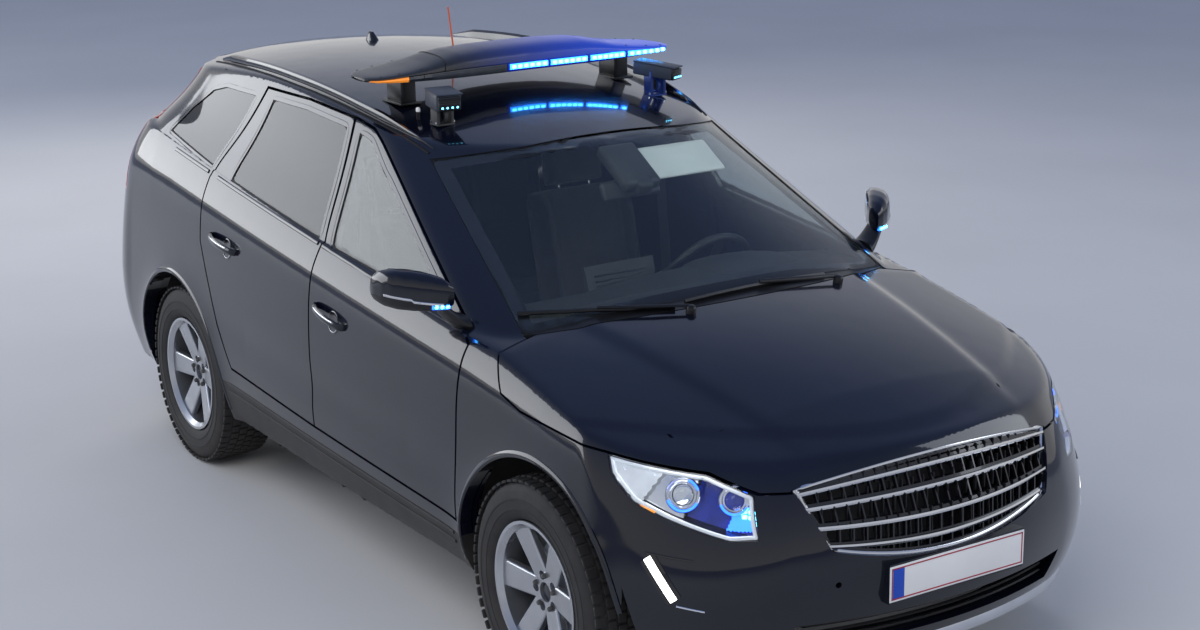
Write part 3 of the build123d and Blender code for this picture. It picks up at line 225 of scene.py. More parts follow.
class ShaderKit:
    """Node groups that several finishes share, each built once."""

    groups: dict[str, bpy.types.NodeTree] = {}
    inputs: dict[str, dict[str, object]] = {
        "tone": {"Colour": (0.5, 0.5, 0.5, 1), "Amount": 0.1, "Scale": 6.0},
        "grain": {"Scale": 800.0, "Softness": 0.5},
        "dust": {"Amount": 0.2, "Height": 0.8, "Scale": 14.0},
    }
    outputs: dict[str, tuple[str, str]] = {
        "tone": ("Colour", "NodeSocketColor"), "grain": ("Height", "NodeSocketFloat"),
        "dust": ("Mask", "NodeSocketFloat"),
    }

    @classmethod
    def place(cls, graph: Graph, name: str, **values: object) -> bpy.types.NodeSocket:
        """Places a shared group in a material, and builds the group the first time.

        Args:
            graph: the material's tree.
            name: tone, grain or dust.
            values: the group's inputs.

        Returns:
            The group's result.
        """
        if name not in cls.groups:
            tree = bpy.data.node_groups.new(name, "ShaderNodeTree")
            for label, default in cls.inputs[name].items():
                kind = "NodeSocketColor" if label == "Colour" else "NodeSocketFloat"
                socket = tree.interface.new_socket(label, in_out="INPUT", socket_type=kind)
                socket.default_value = default
            label, kind = cls.outputs[name]
            tree.interface.new_socket(label, in_out="OUTPUT", socket_type=kind)
            inner = Graph(tree)
            given = inner.add("NodeGroupInput").outputs
            where = inner.add("ShaderNodeTexCoord").outputs["Object"]
            made = {"tone": cls._tone, "grain": cls._grain, "dust": cls._dust}[name](inner, given, where)
            inner.add("NodeGroupOutput", {label: made})
            cls.groups[name] = tree
        return graph.add("ShaderNodeGroup", values, node_tree=cls.groups[name]).outputs[0]

    @staticmethod
    def _tone(graph: Graph, given: Sequence, where: bpy.types.NodeSocket) -> bpy.types.NodeSocket:
        """A slow drift of a colour between a darker and a lighter tone.

        Args:
            graph: the group's nodes.
            given: the group's inputs.
            where: the place on the surface.

        Returns:
            The drifting colour.
        """
        noise = graph.add("ShaderNodeTexNoise", {"Detail": 5, "Vector": where, "Scale": given["Scale"]})
        spread = graph.add("ShaderNodeMapRange", {
            "From Min": 0.3, "From Max": 0.7, "To Min": -1, "To Max": 1, "Value": noise.outputs["Fac"],
        })
        level = graph.math("ADD", graph.math("MULTIPLY", spread.outputs["Result"], given["Amount"]), 1)
        scaled = graph.add("ShaderNodeVectorMath", {0: given["Colour"], "Scale": level}, operation="SCALE")
        return scaled.outputs[0]

    @staticmethod
    def _grain(graph: Graph, given: Sequence, where: bpy.types.NodeSocket) -> bpy.types.NodeSocket:
        """The height of a moulded or cast grain.

        Args:
            graph: the group's nodes.
            given: the group's inputs.
            where: the place on the surface.

        Returns:
            The height.
        """
        cells = graph.add("ShaderNodeTexVoronoi", {"Vector": where, "Scale": given["Scale"]})
        noise = graph.add("ShaderNodeTexNoise", {"Vector": where, "Scale": given["Scale"], "Detail": 3})
        return graph.add("ShaderNodeMix", {
            "Factor": given["Softness"], "A": cells.outputs["Distance"], "B": noise.outputs["Fac"],
        }).outputs["Result"]

    @staticmethod
    def _dust(graph: Graph, given: Sequence, where: bpy.types.NodeSocket) -> bpy.types.NodeSocket:
        """A mask of road dust that thickens towards the ground.

        Args:
            graph: the group's nodes.
            given: the group's inputs.
            where: the place on the surface.

        Returns:
            The mask.
        """
        height = graph.add("ShaderNodeSeparateXYZ", {0: where}).outputs["Z"]
        reach = {"Value": height, "From Min": given["Height"], "From Max": 0.0}
        fall = graph.add("ShaderNodeMapRange", reach)
        noise = graph.add("ShaderNodeTexNoise", {"Detail": 8, "Vector": where, "Scale": given["Scale"]})
        patchy = graph.math("MULTIPLY", fall.outputs["Result"], noise.outputs["Fac"])
        return graph.math("MULTIPLY", patchy, given["Amount"])


@dataclass(frozen=True)
class Finish:
    """One finish: its colour, gloss, grain, dust and how far its tone drifts, and its usual material slot."""

    name: str
    colour: Point
    roughness: float = 0.5
    slot: Slot = Slot.DARK_TRIM
    metallic: float = 0.0
    coat: float = 0.0
    coat_rough: float = 0.02
    sheen: float = 0.0
    tone: float = 0.12
    tone_scale: float = 6.0
    grain_scale: float = 900.0
    grain_depth: float = 0.0
    grain_softness: float = 0.5
    grain_strength: float = 0.6
    uneven: float = 0.05
    drift_ratio: float = 2.7
    dust: float = 0.0
    dust_height: float = 0.7
    dust_colour: Point = (0.21, 0.19, 0.165)
    dust_roughness: float = 0.85
    glow: float = 0.0
    glow_colour: Point = (1, 1, 1)
    glass: float = 0.0
    ior: float = 1.45
    specular: float = 0.5

    def material(self) -> bpy.types.Material:
        """Builds the material once.

        Returns:
            The material.
        """
        title = f"{self.name}_finish"
        if title in bpy.data.materials:
            return bpy.data.materials[title]
        material = bpy.data.materials.new(title)
        material.use_nodes = True
        graph = Graph(material.node_tree)
        shader = graph.tree.nodes["Principled BSDF"]
        graph.feed(shader, {
            "Metallic": self.metallic, "Coat Weight": self.coat, "Coat Roughness": self.coat_rough,
            "Sheen Weight": self.sheen, "Transmission Weight": self.glass, "IOR": self.ior,
            "Specular IOR Level": self.specular,
        })
        colour = ShaderKit.place(
            graph, "tone", Colour=(*self.colour, 1), Amount=self.tone, Scale=self.tone_scale
        )
        where = graph.add("ShaderNodeTexCoord").outputs["Object"]
        drift_scale = self.tone_scale * self.drift_ratio
        drift = graph.add("ShaderNodeTexNoise", {"Scale": drift_scale, "Vector": where})
        least, most = max(self.roughness - self.uneven, 0.01), min(self.roughness + self.uneven, 1.0)
        spread = {"To Min": least, "To Max": most, "Value": drift.outputs["Fac"]}
        roughness = graph.add("ShaderNodeMapRange", spread).outputs["Result"]
        if self.dust:
            mask = ShaderKit.place(graph, "dust", Amount=self.dust, Height=self.dust_height)
            over = {"Factor": mask, "A": colour, "B": (*self.dust_colour, 1)}
            colour = graph.add("ShaderNodeMix", over, data_type="RGBA").outputs["Result"]
            dull = {"Factor": mask, "A": roughness, "B": self.dust_roughness}
            roughness = graph.add("ShaderNodeMix", dull).outputs["Result"]
        graph.feed(shader, {"Base Color": colour, "Roughness": roughness})
        if self.grain_depth:
            height = ShaderKit.place(graph, "grain", Scale=self.grain_scale, Softness=self.grain_softness)
            relief = {"Strength": self.grain_strength, "Distance": self.grain_depth, "Height": height}
            graph.feed(shader, {"Normal": graph.add("ShaderNodeBump", relief).outputs["Normal"]})
        if self.glow:
            graph.feed(shader, {"Emission Color": (*self.glow_colour, 1), "Emission Strength": self.glow})
        if self.glass:
            self._light_through(graph, shader)
        return material

    def _light_through(self, graph: Graph, shader: bpy.types.Node) -> None:
        """Lets shadow rays pass a pane, so that the lamps light what is behind it.

        Args:
            graph: the material's nodes.
            shader: the pane's own shader.
        """
        tint = (*[min(1.0, c**0.5) for c in self.colour], 1)
        clear = graph.add("ShaderNodeBsdfTransparent", {"Color": tint})
        shadow = graph.add("ShaderNodeLightPath").outputs["Is Shadow Ray"]
        mix = graph.add("ShaderNodeMixShader", {"Fac": shadow, 1: shader.outputs[0], 2: clear.outputs[0]})
        graph.feed(graph.tree.nodes["Material Output"], {"Surface": mix.outputs[0]})


@dataclass(frozen=True)
class ClothFinish:
    """Woven seat cloth."""

    name: str = "seat_cloth"
    colour: Point = (0.030, 0.031, 0.034)
    slot: Slot = Slot.SEAT
    thread: float = 420.0
    wander: float = 0.6
    weave_depth: float = 0.0006

    def material(self) -> bpy.types.Material:
        """Builds the material once.

        Returns:
            The material.
        """
        base = Finish(self.name, self.colour, 0.82, sheen=0.5, tone=0.2, tone_scale=22)
        known = f"{self.name}_finish" in bpy.data.materials
        material = base.material()
        if known:
            return material
        graph = Graph(material.node_tree)
        where = graph.add("ShaderNodeTexCoord").outputs["Object"]
        wave = {"Scale": self.thread, "Distortion": self.wander, "Vector": where}
        warp, weft = (
            graph.add("ShaderNodeTexWave", wave, bands_direction=way).outputs["Fac"] for way in ("X", "Z")
        )
        relief = {"Distance": self.weave_depth, "Height": graph.math("MULTIPLY", warp, weft)}
        bump = graph.add("ShaderNodeBump", relief)
        graph.feed(graph.tree.nodes["Principled BSDF"], {"Normal": bump.outputs["Normal"]})
        return material


@dataclass(frozen=True)
class WashedFinish:
    """A finish with a coloured light that grows across it along X."""

    base: Finish
    colour: Point = (0.008, 0.085, 1.0)
    start: float = -0.36
    end: float = 0.62
    strength: float = 0.62
    slot: Slot = Slot.DARK_TRIM

    def material(self) -> bpy.types.Material:
        """Builds the material, which one piece uses.

        Returns:
            The material.
        """
        material = self.base.material()
        graph = Graph(material.node_tree)
        where = graph.add("ShaderNodeTexCoord").outputs["Object"]
        across = graph.add("ShaderNodeSeparateXYZ", {0: where}).outputs["X"]
        reach = {"From Min": self.start, "From Max": self.end, "Value": across}
        grow = graph.add("ShaderNodeMapRange", reach, interpolation_type="SMOOTHSTEP").outputs["Result"]
        wash = {"A": (0, 0, 0, 1), "B": (*self.colour, 1), "Factor": grow}
        tint = graph.add("ShaderNodeMix", wash, data_type="RGBA").outputs["Result"]
        shader = graph.tree.nodes["Principled BSDF"]
        graph.feed(shader, {"Emission Color": tint, "Emission Strength": self.strength})
        return material


BLACK_PAINT = Finish("black_paint", (0.0028, 0.0040, 0.0105), 0.22, Slot.PAINT, coat=1.0, coat_rough=0.05,
                     specular=0.12, tone=0.25, tone_scale=2.2, dust=0.035, dust_height=0.60)
CLADDING = Finish("grained_cladding", (0.012, 0.012, 0.0135), 0.46, grain_scale=1100, grain_depth=0.0004,
                  dust=0.34, dust_height=0.62, tone=0.2)
BLACK_TRIM = Finish("black_trim", (0.008, 0.008, 0.009), 0.32, grain_scale=1500, grain_depth=0.0002, tone=0.2)
GLOSS_BLACK = Finish("gloss_black", (0.006, 0.006, 0.008), 0.16, coat=0.6, tone=0.2)
SEAL_RUBBER = Finish("seal_rubber", (0.006, 0.006, 0.006), 0.62, grain_scale=1400, grain_depth=0.0002)
CLEAR_GLASS, SIDE_GLASS, DARK_GLASS = (
    Finish(name, colour, 0.015, Slot.GLASS, tone=tone, uneven=0.008, glass=1.0)
    for name, colour, tone in (
        ("clear_glass", (0.80, 0.87, 0.86), 0.02), ("side_glass", (0.50, 0.56, 0.56), 0.02),
        ("dark_glass", (0.045, 0.055, 0.06), 0.04),
    )
)
LAMP_GLASS = Finish("lamp_glass", (0.96, 0.98, 1.0), 0.01, Slot.LAMP_LENS, tone=0.01, uneven=0.005, glass=1.0,
                    ior=1.30)
FRIT = Finish("printed_border", (0.006, 0.006, 0.007), 0.24, Slot.GLASS, tone=0.15)
LAMP_CHROME = Finish("lamp_chrome", (0.86, 0.87, 0.89), 0.10, Slot.BRIGHT, metallic=1.0, tone=0.04)
LAMP_WHITE = Finish("lamp_white", (0.50, 0.53, 0.57), 0.22, Slot.LAMP_LENS, metallic=0.45, tone=0.10,
                    tone_scale=26, glow=0.20, glow_colour=(0.85, 0.92, 1.0))
AMBER = Finish("amber_lens", (0.85, 0.26, 0.03), 0.14, Slot.BLUE_LENS, coat=0.6, tone=0.08, glow=0.5,
               glow_colour=(1.0, 0.32, 0.04))
BLUE_GLOW = Finish("blue_glow", (0.03, 0.12, 0.95), 0.2, Slot.BLUE_LENS, tone=0.05, glow=3.6,
                   glow_colour=(0.02, 0.13, 1.0))
BLUE_CORE = Finish("blue_core", (0.35, 0.8, 1.0), 0.2, Slot.BLUE_LENS, tone=0.05, glow=6.0,
                   glow_colour=(0.12, 0.62, 1.0))
BLUE_PLASTIC = Finish("blue_plastic", (0.004, 0.012, 0.14), 0.12, Slot.BLUE_LENS, coat=0.8, tone=0.45,
                      tone_scale=34, glow=0.10, glow_colour=(0.01, 0.05, 0.8))
WHITE_GLOW = Finish("white_glow", (0.95, 0.93, 0.86), 0.3, Slot.LAMP_LENS, tone=0.02, glow=3.0,
                    glow_colour=(1.0, 0.96, 0.86))
RED_LENS = Finish("red_lens", (0.24, 0.005, 0.007), 0.12, Slot.RED_LENS, coat=1.0, tone=0.15, grain_scale=260,
                  grain_depth=0.0003, grain_softness=0.0)
RED_GLOW = Finish("red_inner_lens", (0.34, 0.008, 0.010), 0.16, Slot.RED_LENS, coat=0.8, tone=0.12,
                  tone_scale=30, glow=0.10, glow_colour=(1.0, 0.03, 0.02))
BRIGHT_METAL = Finish("bright_metal", (0.74, 0.75, 0.77), 0.14, Slot.BRIGHT, metallic=1.0, tone=0.06)
SATIN_SILVER = Finish("satin_silver", (0.60, 0.62, 0.66), 0.30, Slot.BRIGHT, metallic=0.85, coat=0.3,
                      tone=0.08, dust=0.16, dust_height=0.5)
ALLOY = Finish("wheel_alloy", (0.50, 0.52, 0.55), 0.27, Slot.ALLOY, metallic=0.9, coat=0.5, tone=0.08,
               tone_scale=9, grain_scale=3000, grain_depth=0.00004, dust=0.20, dust_height=0.75,
               dust_colour=(0.16, 0.13, 0.11))
CAST_STEEL = Finish("cast_steel", (0.10, 0.10, 0.10), 0.55, Slot.STEEL, metallic=0.6, tone=0.3,
                    grain_scale=600, grain_depth=0.0004, dust=0.5)
UNDERSEAL = Finish("underseal", (0.014, 0.014, 0.014), 0.75, tone=0.3, grain_scale=320, grain_depth=0.0012,
                   dust=0.5, dust_height=0.9)
EXHAUST_STEEL = Finish("exhaust_steel", (0.34, 0.33, 0.31), 0.36, Slot.STEEL, metallic=0.9, tone=0.22,
                       tone_scale=5, dust=0.4)
TYRE_RUBBER = Finish("tyre_rubber", (0.013, 0.013, 0.0135), 0.68, Slot.TYRE, tone=0.25, tone_scale=16,
                     grain_scale=1600, grain_depth=0.0002, dust=0.42, dust_height=0.9,
                     dust_colour=(0.10, 0.09, 0.08))
CABIN_PLASTIC = Finish("cabin_plastic", (0.028, 0.029, 0.032), 0.55, Slot.INTERIOR, grain_scale=1200,
                       grain_depth=0.0004, tone=0.15)
CABIN_LEATHER = Finish("wheel_leather", (0.02, 0.02, 0.021), 0.45, Slot.INTERIOR, grain_scale=700,
                       grain_depth=0.0004, tone=0.2)
VISOR_CLOTH = Finish("visor_cloth", (0.62, 0.64, 0.63), 0.8, Slot.INTERIOR, sheen=0.3, grain_scale=1800,
                     grain_depth=0.0003, tone=0.06)
BELT_WEBBING = Finish("belt_webbing", (0.03, 0.03, 0.032), 0.7, Slot.INTERIOR, sheen=0.3, grain_scale=1500,
                      grain_depth=0.0003)
SCREEN = Finish("screen_glass", (0.012, 0.016, 0.022), 0.08, Slot.INTERIOR, coat=1.0, tone=0.2)
MIRROR_GLASS = Finish("mirror_glass", (0.82, 0.85, 0.88), 0.02, Slot.GLASS, metallic=1.0, tone=0.02,
                      uneven=0.01)
PLATE_WHITE = Finish("plate_white", (0.82, 0.82, 0.80), 0.30, Slot.PAINT, tone=0.03, grain_scale=1500,
                     grain_depth=0.00005)
PLATE_RED = Finish("plate_red", (0.38, 0.015, 0.03), 0.3, Slot.PAINT, tone=0.08)
PLATE_BLUE = Finish("plate_blue", (0.01, 0.07, 0.50), 0.3, Slot.PAINT, tone=0.08)
ORANGE_ROD = Finish("orange_rod", (0.62, 0.10, 0.03), 0.4, tone=0.12)
WHITE_CAP = Finish("white_cap", (0.78, 0.78, 0.76), 0.4, tone=0.05)
BAR_COVER = Finish("bar_cover", (0.020, 0.021, 0.024), 0.34, coat=0.25, tone=0.25, tone_scale=3.5,
                   grain_scale=1600, grain_depth=0.00015)
LIT_COVER = WashedFinish(BAR_COVER)
SMOKE_LENS = Finish("smoke_lens", (0.035, 0.04, 0.05), 0.07, Slot.BLUE_LENS, coat=1.0, tone=0.3,
                    tone_scale=18, grain_scale=420, grain_depth=0.0004, grain_softness=0.0)
BAR_GLOW = Finish("bar_glow", (0.25, 0.6, 1.0), 0.2, Slot.BLUE_LENS, tone=0.05, glow=8.0,
                  glow_colour=(0.006, 0.14, 1.0))
BAR_CORE = Finish("bar_core", (0.8, 0.95, 1.0), 0.2, Slot.BLUE_LENS, tone=0.02, glow=15.0,
                  glow_colour=(0.034, 0.40, 1.0))
POD_GREY = Finish("pod_grey", (0.035, 0.045, 0.065), 0.38, tone=0.2, grain_scale=1500, grain_depth=0.0003)
# Dark steel with painted blue light: its blue colour and faint blue glow stand for the blue lamp light that falls on a
# camera pod's bracket.
BLUE_LIGHT_PAINTED_METAL = Finish("blue_lit_metal", (0.025, 0.045, 0.14), 0.34, Slot.STEEL, metallic=0.5, tone=0.4,
                    tone_scale=40, glow=0.03, glow_colour=(0.02, 0.12, 1.0))
SEAT_CLOTH = ClothFinish()
AnyFinish = Finish | ClothFinish | WashedFinish


def make_piece(
    name: str, shape: Shape, finish: AnyFinish, body: str = "root", replaces: Iterable[str] = (),
    angle: float = 34.0, slot: Slot | None = None,
) -> bpy.types.Object:
    """Makes one finished piece.

    Args:
        name: the piece's name.
        shape: its vertices and faces.
        finish: what it is made of.
        body: the CAD body that it rides on.
        replaces: the CAD nodes that it stands for.
        angle: edges sharper than this stay sharp, in degrees.
        slot: its material slot, where that isn't the finish's usual one.

    Returns:
        The new object.
    """
    mesh = bpy.data.meshes.new(name)
    mesh.from_pydata([tuple(p) for p in shape[0]], [], [tuple(f) for f in shape[1]])
    made = bmesh.new()
    made.from_mesh(mesh)
    bmesh.ops.remove_doubles(made, verts=made.verts, dist=2e-5)
    bmesh.ops.dissolve_degenerate(made, dist=1e-5, edges=made.edges)
    bmesh.ops.recalc_face_normals(made, faces=made.faces)
    made.to_mesh(mesh)
    made.free()
    return dress_piece(bpy.data.objects.new(name, mesh), finish, body, replaces, angle, slot)


def dress_piece(
    obj: bpy.types.Object, finish: AnyFinish, body: str, replaces: Iterable[str] = (), angle: float = 34.0,
    slot: Slot | None = None,
) -> bpy.types.Object:
    """Shades, finishes and mounts an object whose mesh is ready.

    Args:
        obj: the object, at the origin.
        finish: what it is made of.
        body: the CAD body that it rides on.
        replaces: the CAD nodes that it stands for.
        angle: edges sharper than this stay sharp, in degrees.
        slot: its material slot, where that isn't the finish's usual one.

    Returns:
        The same object.
    """
    bpy.context.scene.collection.objects.link(obj)
    if angle and not obj.data.has_custom_normals:
        obj.data.shade_smooth()
        obj.data.set_sharp_from_angle(angle=math.radians(angle))
    obj.data.materials.clear()
    obj.data.materials.append(finish.material())
    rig.ride(obj, body)
    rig.slot(obj, (slot or finish.slot).value)
    names = list(replaces)
    if names:
        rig.replaces(obj, *names)
    LOG.info("piece %s on %s, %d faces", obj.name, body, len(obj.data.polygons))
    return obj


def dress_nodes(names: Iterable[str], finish: Finish) -> None:
    """Gives CAD nodes that stay on show their finish.

    Args:
        names: the CAD nodes.
        finish: what they are made of.
    """
    for name in names:
        node = frame["nodes"][name]
        node.data.materials.clear()
        node.data.materials.append(finish.material())


def node_body(node: str) -> str:
    """The body that a CAD node rides on."""
    return frame["nodes"][node]["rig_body"]


def join_shapes(*shapes: Shape) -> Shape:
    """Puts several shapes into one.

    Args:
        shapes: the shapes, in order.

    Returns:
        One shape.
    """
    points: list = []
    faces: list = []
    for shape_points, shape_faces in shapes:
        base = len(points)
        points.extend(shape_points)
        faces.extend([[base + i for i in f] for f in shape_faces])
    return points, faces


def turned_shape(shape: Shape, matrix: Matrix) -> Shape:
    """A shape moved by a matrix."""
    return [tuple(matrix @ Vector(p)) for p in shape[0]], shape[1]


def node_shape(node: str) -> Shape:
    """A CAD node's shape with its loose triangles joined.

    Args:
        node: the CAD node.

    Returns:
        Its vertices and faces.
    """
    made = bmesh.new()
    made.from_mesh(frame["nodes"][node].data)
    bmesh.ops.remove_doubles(made, verts=made.verts, dist=1e-5)
    shape = [tuple(v.co) for v in made.verts], [[v.index for v in f.verts] for f in made.faces]
    made.free()
    return shape


def circle(count: int) -> list[Pair]:
    """Cosine and sine of even steps round a circle."""
    steps = (2 * math.pi * k / count for k in range(count))
    return [(math.cos(a), math.sin(a)) for a in steps]


def bulged(value: float, power: float) -> float:
    """A value from -1 to 1 raised to a power, with its sign kept."""
    return math.copysign(abs(value) ** power, value)


def loft(
    rings: Sequence[Sequence[Point]], caps: bool = True, closed: bool = True, round_trip: bool = False
) -> Shape:
    """Joins rings of equal length into a skin.

    Args:
        rings: the rings in order.
        caps: whether the two ends are closed by a face.
        closed: whether each ring is a closed loop.
        round_trip: whether the last ring joins the first.

    Returns:
        The vertices and faces.
    """
    count = len(rings[0])
    points = [tuple(p) for ring in rings for p in ring]
    faces = []
    for i in range(len(rings) if round_trip else len(rings) - 1):
        a, b = i * count, ((i + 1) % len(rings)) * count
        for j in range(count if closed else count - 1):
            k = (j + 1) % count
            faces.append([a + j, a + k, b + k, b + j])
    if caps and not round_trip:
        faces.append(list(range(count)))
        faces.append([len(points) - count + i for i in reversed(range(count))])
    return points, faces


def lathe(
    profile: Sequence[Pair], centre: Point, axis: Point = UP, sides: int = 48, closed: bool = False
) -> Shape:
    """Turns a profile round an axis.

    Args:
        profile: pairs of radius and height.
        centre: where height 0 is.
        axis: the direction of height.
        sides: the number of steps round.
        closed: whether the profile is a closed loop.

    Returns:
        The vertices and faces.
    """
    turn = Vector(axis).normalized().to_track_quat("Z", "Y").to_matrix()
    rings = [
        [tuple(Vector(centre) + turn @ Vector((r * c, r * s, h))) for r, h in profile]
        for c, s in circle(sides)
    ]
    return loft(rings, caps=False, closed=closed, round_trip=True)


def tube(path: Sequence[Point], radius: float, sides: int = 10, flat: float = 1.0) -> Shape:
    """A round or flattened bar along a path.

    Args:
        path: the points of its middle line.
        radius: its radius.
        sides: the number of steps round.
        flat: its second half-width as a share of the radius.

    Returns:
        The vertices and faces.
    """
    line = [Vector(p) for p in path]
    rings = []
    side = None
    for i, p in enumerate(line):
        along = (line[min(i + 1, len(line) - 1)] - line[max(i - 1, 0)]).normalized()
        if side is None:
            side = along.cross(Vector(UP))
            side = side.normalized() if side.length > 0.1 else Vector((1, 0, 0))
        side = (side - along * side.dot(along)).normalized()
        up = side.cross(along)
        rings.append([tuple(p + side * radius * c + up * radius * flat * s) for c, s in circle(sides)])
    return loft(rings)


def rounded_box(size: Point, centre: Point, radius: float, turn: Matrix | None = None) -> Shape:
    """A block with rounded edges.

    Args:
        size: its width along each axis before it is turned.
        centre: its middle.
        radius: its edge radius.
        turn: its rotation.

    Returns:
        The vertices and faces.
    """
    block = bmesh.new()
    bmesh.ops.create_cube(block, size=1.0)
    bmesh.ops.scale(block, vec=size, verts=block.verts)
    rounding = min(radius, 0.49 * min(size))
    bmesh.ops.bevel(block, geom=list(block.edges), offset=rounding, segments=3, affect="EDGES", profile=0.5)
    matrix = Matrix.Translation(centre) @ (turn.to_4x4() if turn else Matrix.Identity(4))
    bmesh.ops.transform(block, matrix=matrix, verts=block.verts)
    shape = [tuple(v.co) for v in block.verts], [[v.index for v in f.verts] for f in block.faces]
    block.free()
    return shape


def unit_block(radius: float) -> Shape:
    """A block with half-widths of 1 that a repeated item is sized from."""
    return rounded_box((2, 2, 2), ORIGIN, radius)


def swept(
    path: Sequence[Point], outs: Sequence[Point], profile: Sequence[Pair],
    across: Point | Sequence[Point] | None = None, sizes: Sequence[float] | None = None,
) -> Shape:
    """Runs a closed profile along a path on a surface.

    Args:
        path: the points that it follows.
        outs: the surface normal at each point.
        profile: pairs of (out, across), in metres.
        across: the direction of the second number, one for all or one each; across the path by default.
        sizes: a scale for the profile at each point.

    Returns:
        The vertices and faces.
    """
    rings = []
    for i, p in enumerate(path):
        out = Vector(outs[i]).normalized()
        if across is None:
            along = Vector(path[min(i + 1, len(path) - 1)]) - Vector(path[max(i - 1, 0)])
            other = along.cross(out).normalized()
        else:
            other = Vector(across if isinstance(across, tuple) else across[i]).normalized()
        size = sizes[i] if sizes else 1.0
        rings.append([tuple(Vector(p) + out * a * size + other * b * size) for a, b in profile])
    return loft(rings)


def strip_profile(width: float, height: float, sunk: float = 0.004) -> list[Pair]:
    """A strip's rounded section.

    Args:
        width: its width across.
        height: its height out of the surface.
        sunk: how far its edges reach under the surface.

    Returns:
        The section's corners.
    """
    half = width / 2
    return [(-sunk, -half), (height * 0.6, -half), (height, -half * 0.6), (height, half * 0.6),
            (height * 0.6, half), (-sunk, half)]


def facing(direction: Point) -> Matrix:
    """A rotation that turns +Z to a direction and +Y as far up as it goes.

    Args:
        direction: where +Z is turned to.

    Returns:
        The rotation.
    """
    z = Vector(direction).normalized()
    x = Vector(UP).cross(z).normalized()
    return Matrix((x, z.cross(x), z)).transposed()


def mirrored_point(p: Point, sign: int) -> Point:
    """A point of the right side, on the side that sign tells."""
    return (-sign * p[0], p[1], p[2])


def even_steps(
    points: Sequence[Point], count: int, values: np.ndarray | None = None, closed: bool = False
) -> np.ndarray:
    """Reads a line off at even steps.

    Args:
        points: the line's corners.
        count: the number of steps.
        values: what is read off, one row for each corner; the corners themselves by default.
        closed: whether the last step stops short of the end.

    Returns:
        One row for each step.
    """
    line = np.array(points, float)
    rows = line if values is None else values
    along = np.concatenate([[0], np.cumsum(np.linalg.norm(np.diff(line, axis=0), axis=1))])
    even = np.linspace(0, along[-1], count, endpoint=not closed)
    return np.stack([np.interp(even, along, rows[:, k]) for k in range(rows.shape[1])], 1)


class RepeatTree:
    """A Geometry Nodes tree that sets one item at each point, turned and sized by the point's attributes."""

    tree: bpy.types.NodeTree | None = None
    inputs: dict[str, str] = {}

    @classmethod
    def build(cls) -> bpy.types.NodeTree:
        """Builds the tree once.

        Returns:
            The tree.
        """
        if cls.tree:
            return cls.tree
        tree = bpy.data.node_groups.new("repeat_items", "GeometryNodeTree")
        face = tree.interface
        face.new_socket("Geometry", in_out="INPUT", socket_type="NodeSocketGeometry")
        for name, kind in (("Item", "Object"), ("Item Size", "Float"), ("Finish", "Material")):
            socket = face.new_socket(name, in_out="INPUT", socket_type=f"NodeSocket{kind}")
            cls.inputs[name] = socket.identifier
        face.new_socket("Geometry", in_out="OUTPUT", socket_type="NodeSocketGeometry")
        graph = Graph(tree)
        given = graph.add("NodeGroupInput").outputs
        item = graph.add("GeometryNodeObjectInfo", {"Object": given["Item"]})
        turn, size = (
            graph.add("GeometryNodeInputNamedAttribute", {"Name": name}, data_type="FLOAT_VECTOR")
            for name in ("turn", "size")
        )
        scale = graph.add("ShaderNodeVectorMath", {
            0: size.outputs["Attribute"], "Scale": given["Item Size"],
        }, operation="SCALE")
        place = graph.add("GeometryNodeInstanceOnPoints", {
            "Points": given["Geometry"], "Instance": item.outputs["Geometry"],
            "Rotation": turn.outputs["Attribute"], "Scale": scale.outputs[0],
        })
        real = graph.add("GeometryNodeRealizeInstances", {"Geometry": place.outputs["Instances"]})
        dress = graph.add(
            "GeometryNodeSetMaterial", {"Geometry": real.outputs["Geometry"], "Material": given["Finish"]}
        )
        graph.add("NodeGroupOutput", {"Geometry": dress.outputs["Geometry"]})
        cls.tree = tree
        return tree

    @classmethod
    def piece(
        cls, name: str, item: Shape, points: Sequence[Point], turns: Point | Sequence[Point],
        sizes: Point | Sequence[Point], finish: Finish, body: str = "root", slot: Slot | None = None,
    ) -> None:
        """Repeats an item at points, and makes the result one plain piece.

        Args:
            name: the piece's name.
            item: the item's vertices and faces, about the origin.
            points: where the items go.
            turns: the items' Euler angles, one for all or one each.
            sizes: the items' scale, one for all or one each.
            finish: what it is made of.
            body: the CAD body that it rides on.
            slot: its material slot, where that isn't the finish's usual one.
        """
        tree = cls.build()
        unit = bpy.data.meshes.new(f"{name}_item")
        unit.from_pydata([tuple(p) for p in item[0]], [], [tuple(f) for f in item[1]])
        shape = bmesh.new()
        shape.from_mesh(unit)
        bmesh.ops.recalc_face_normals(shape, faces=shape.faces)
        shape.to_mesh(unit)
        shape.free()
        cloud = bpy.data.meshes.new(f"{name}_points")
        cloud.from_pydata([tuple(p) for p in points], [], [])
        for label, values in (("turn", turns), ("size", sizes)):
            attribute = cloud.attributes.new(label, "FLOAT_VECTOR", "POINT")
            rows = np.broadcast_to(np.array(values, np.float32), (len(points), 3))
            attribute.data.foreach_set("vector", rows.ravel())
        unit_object, holder = (bpy.data.objects.new(mesh.name, mesh) for mesh in (unit, cloud))
        for extra in (unit_object, holder):
            bpy.context.scene.collection.objects.link(extra)
        modifier = holder.modifiers.new("repeat", "NODES")
        modifier.node_group = tree
        for label, value in (("Item", unit_object), ("Item Size", 1.0), ("Finish", finish.material())):
            modifier[cls.inputs[label]] = value
        bpy.context.view_layer.update()
        graph = bpy.context.evaluated_depsgraph_get()
        mesh = bpy.data.meshes.new_from_object(holder.evaluated_get(graph), depsgraph=graph)
        holder.modifiers.clear()
        for extra in (holder, unit_object):
            bpy.data.objects.remove(extra)
        mesh.name = name
        for label in ("turn", "size"):
            if label in mesh.attributes:
                mesh.attributes.remove(mesh.attributes[label])
        dress_piece(bpy.data.objects.new(name, mesh), finish, body, slot=slot)


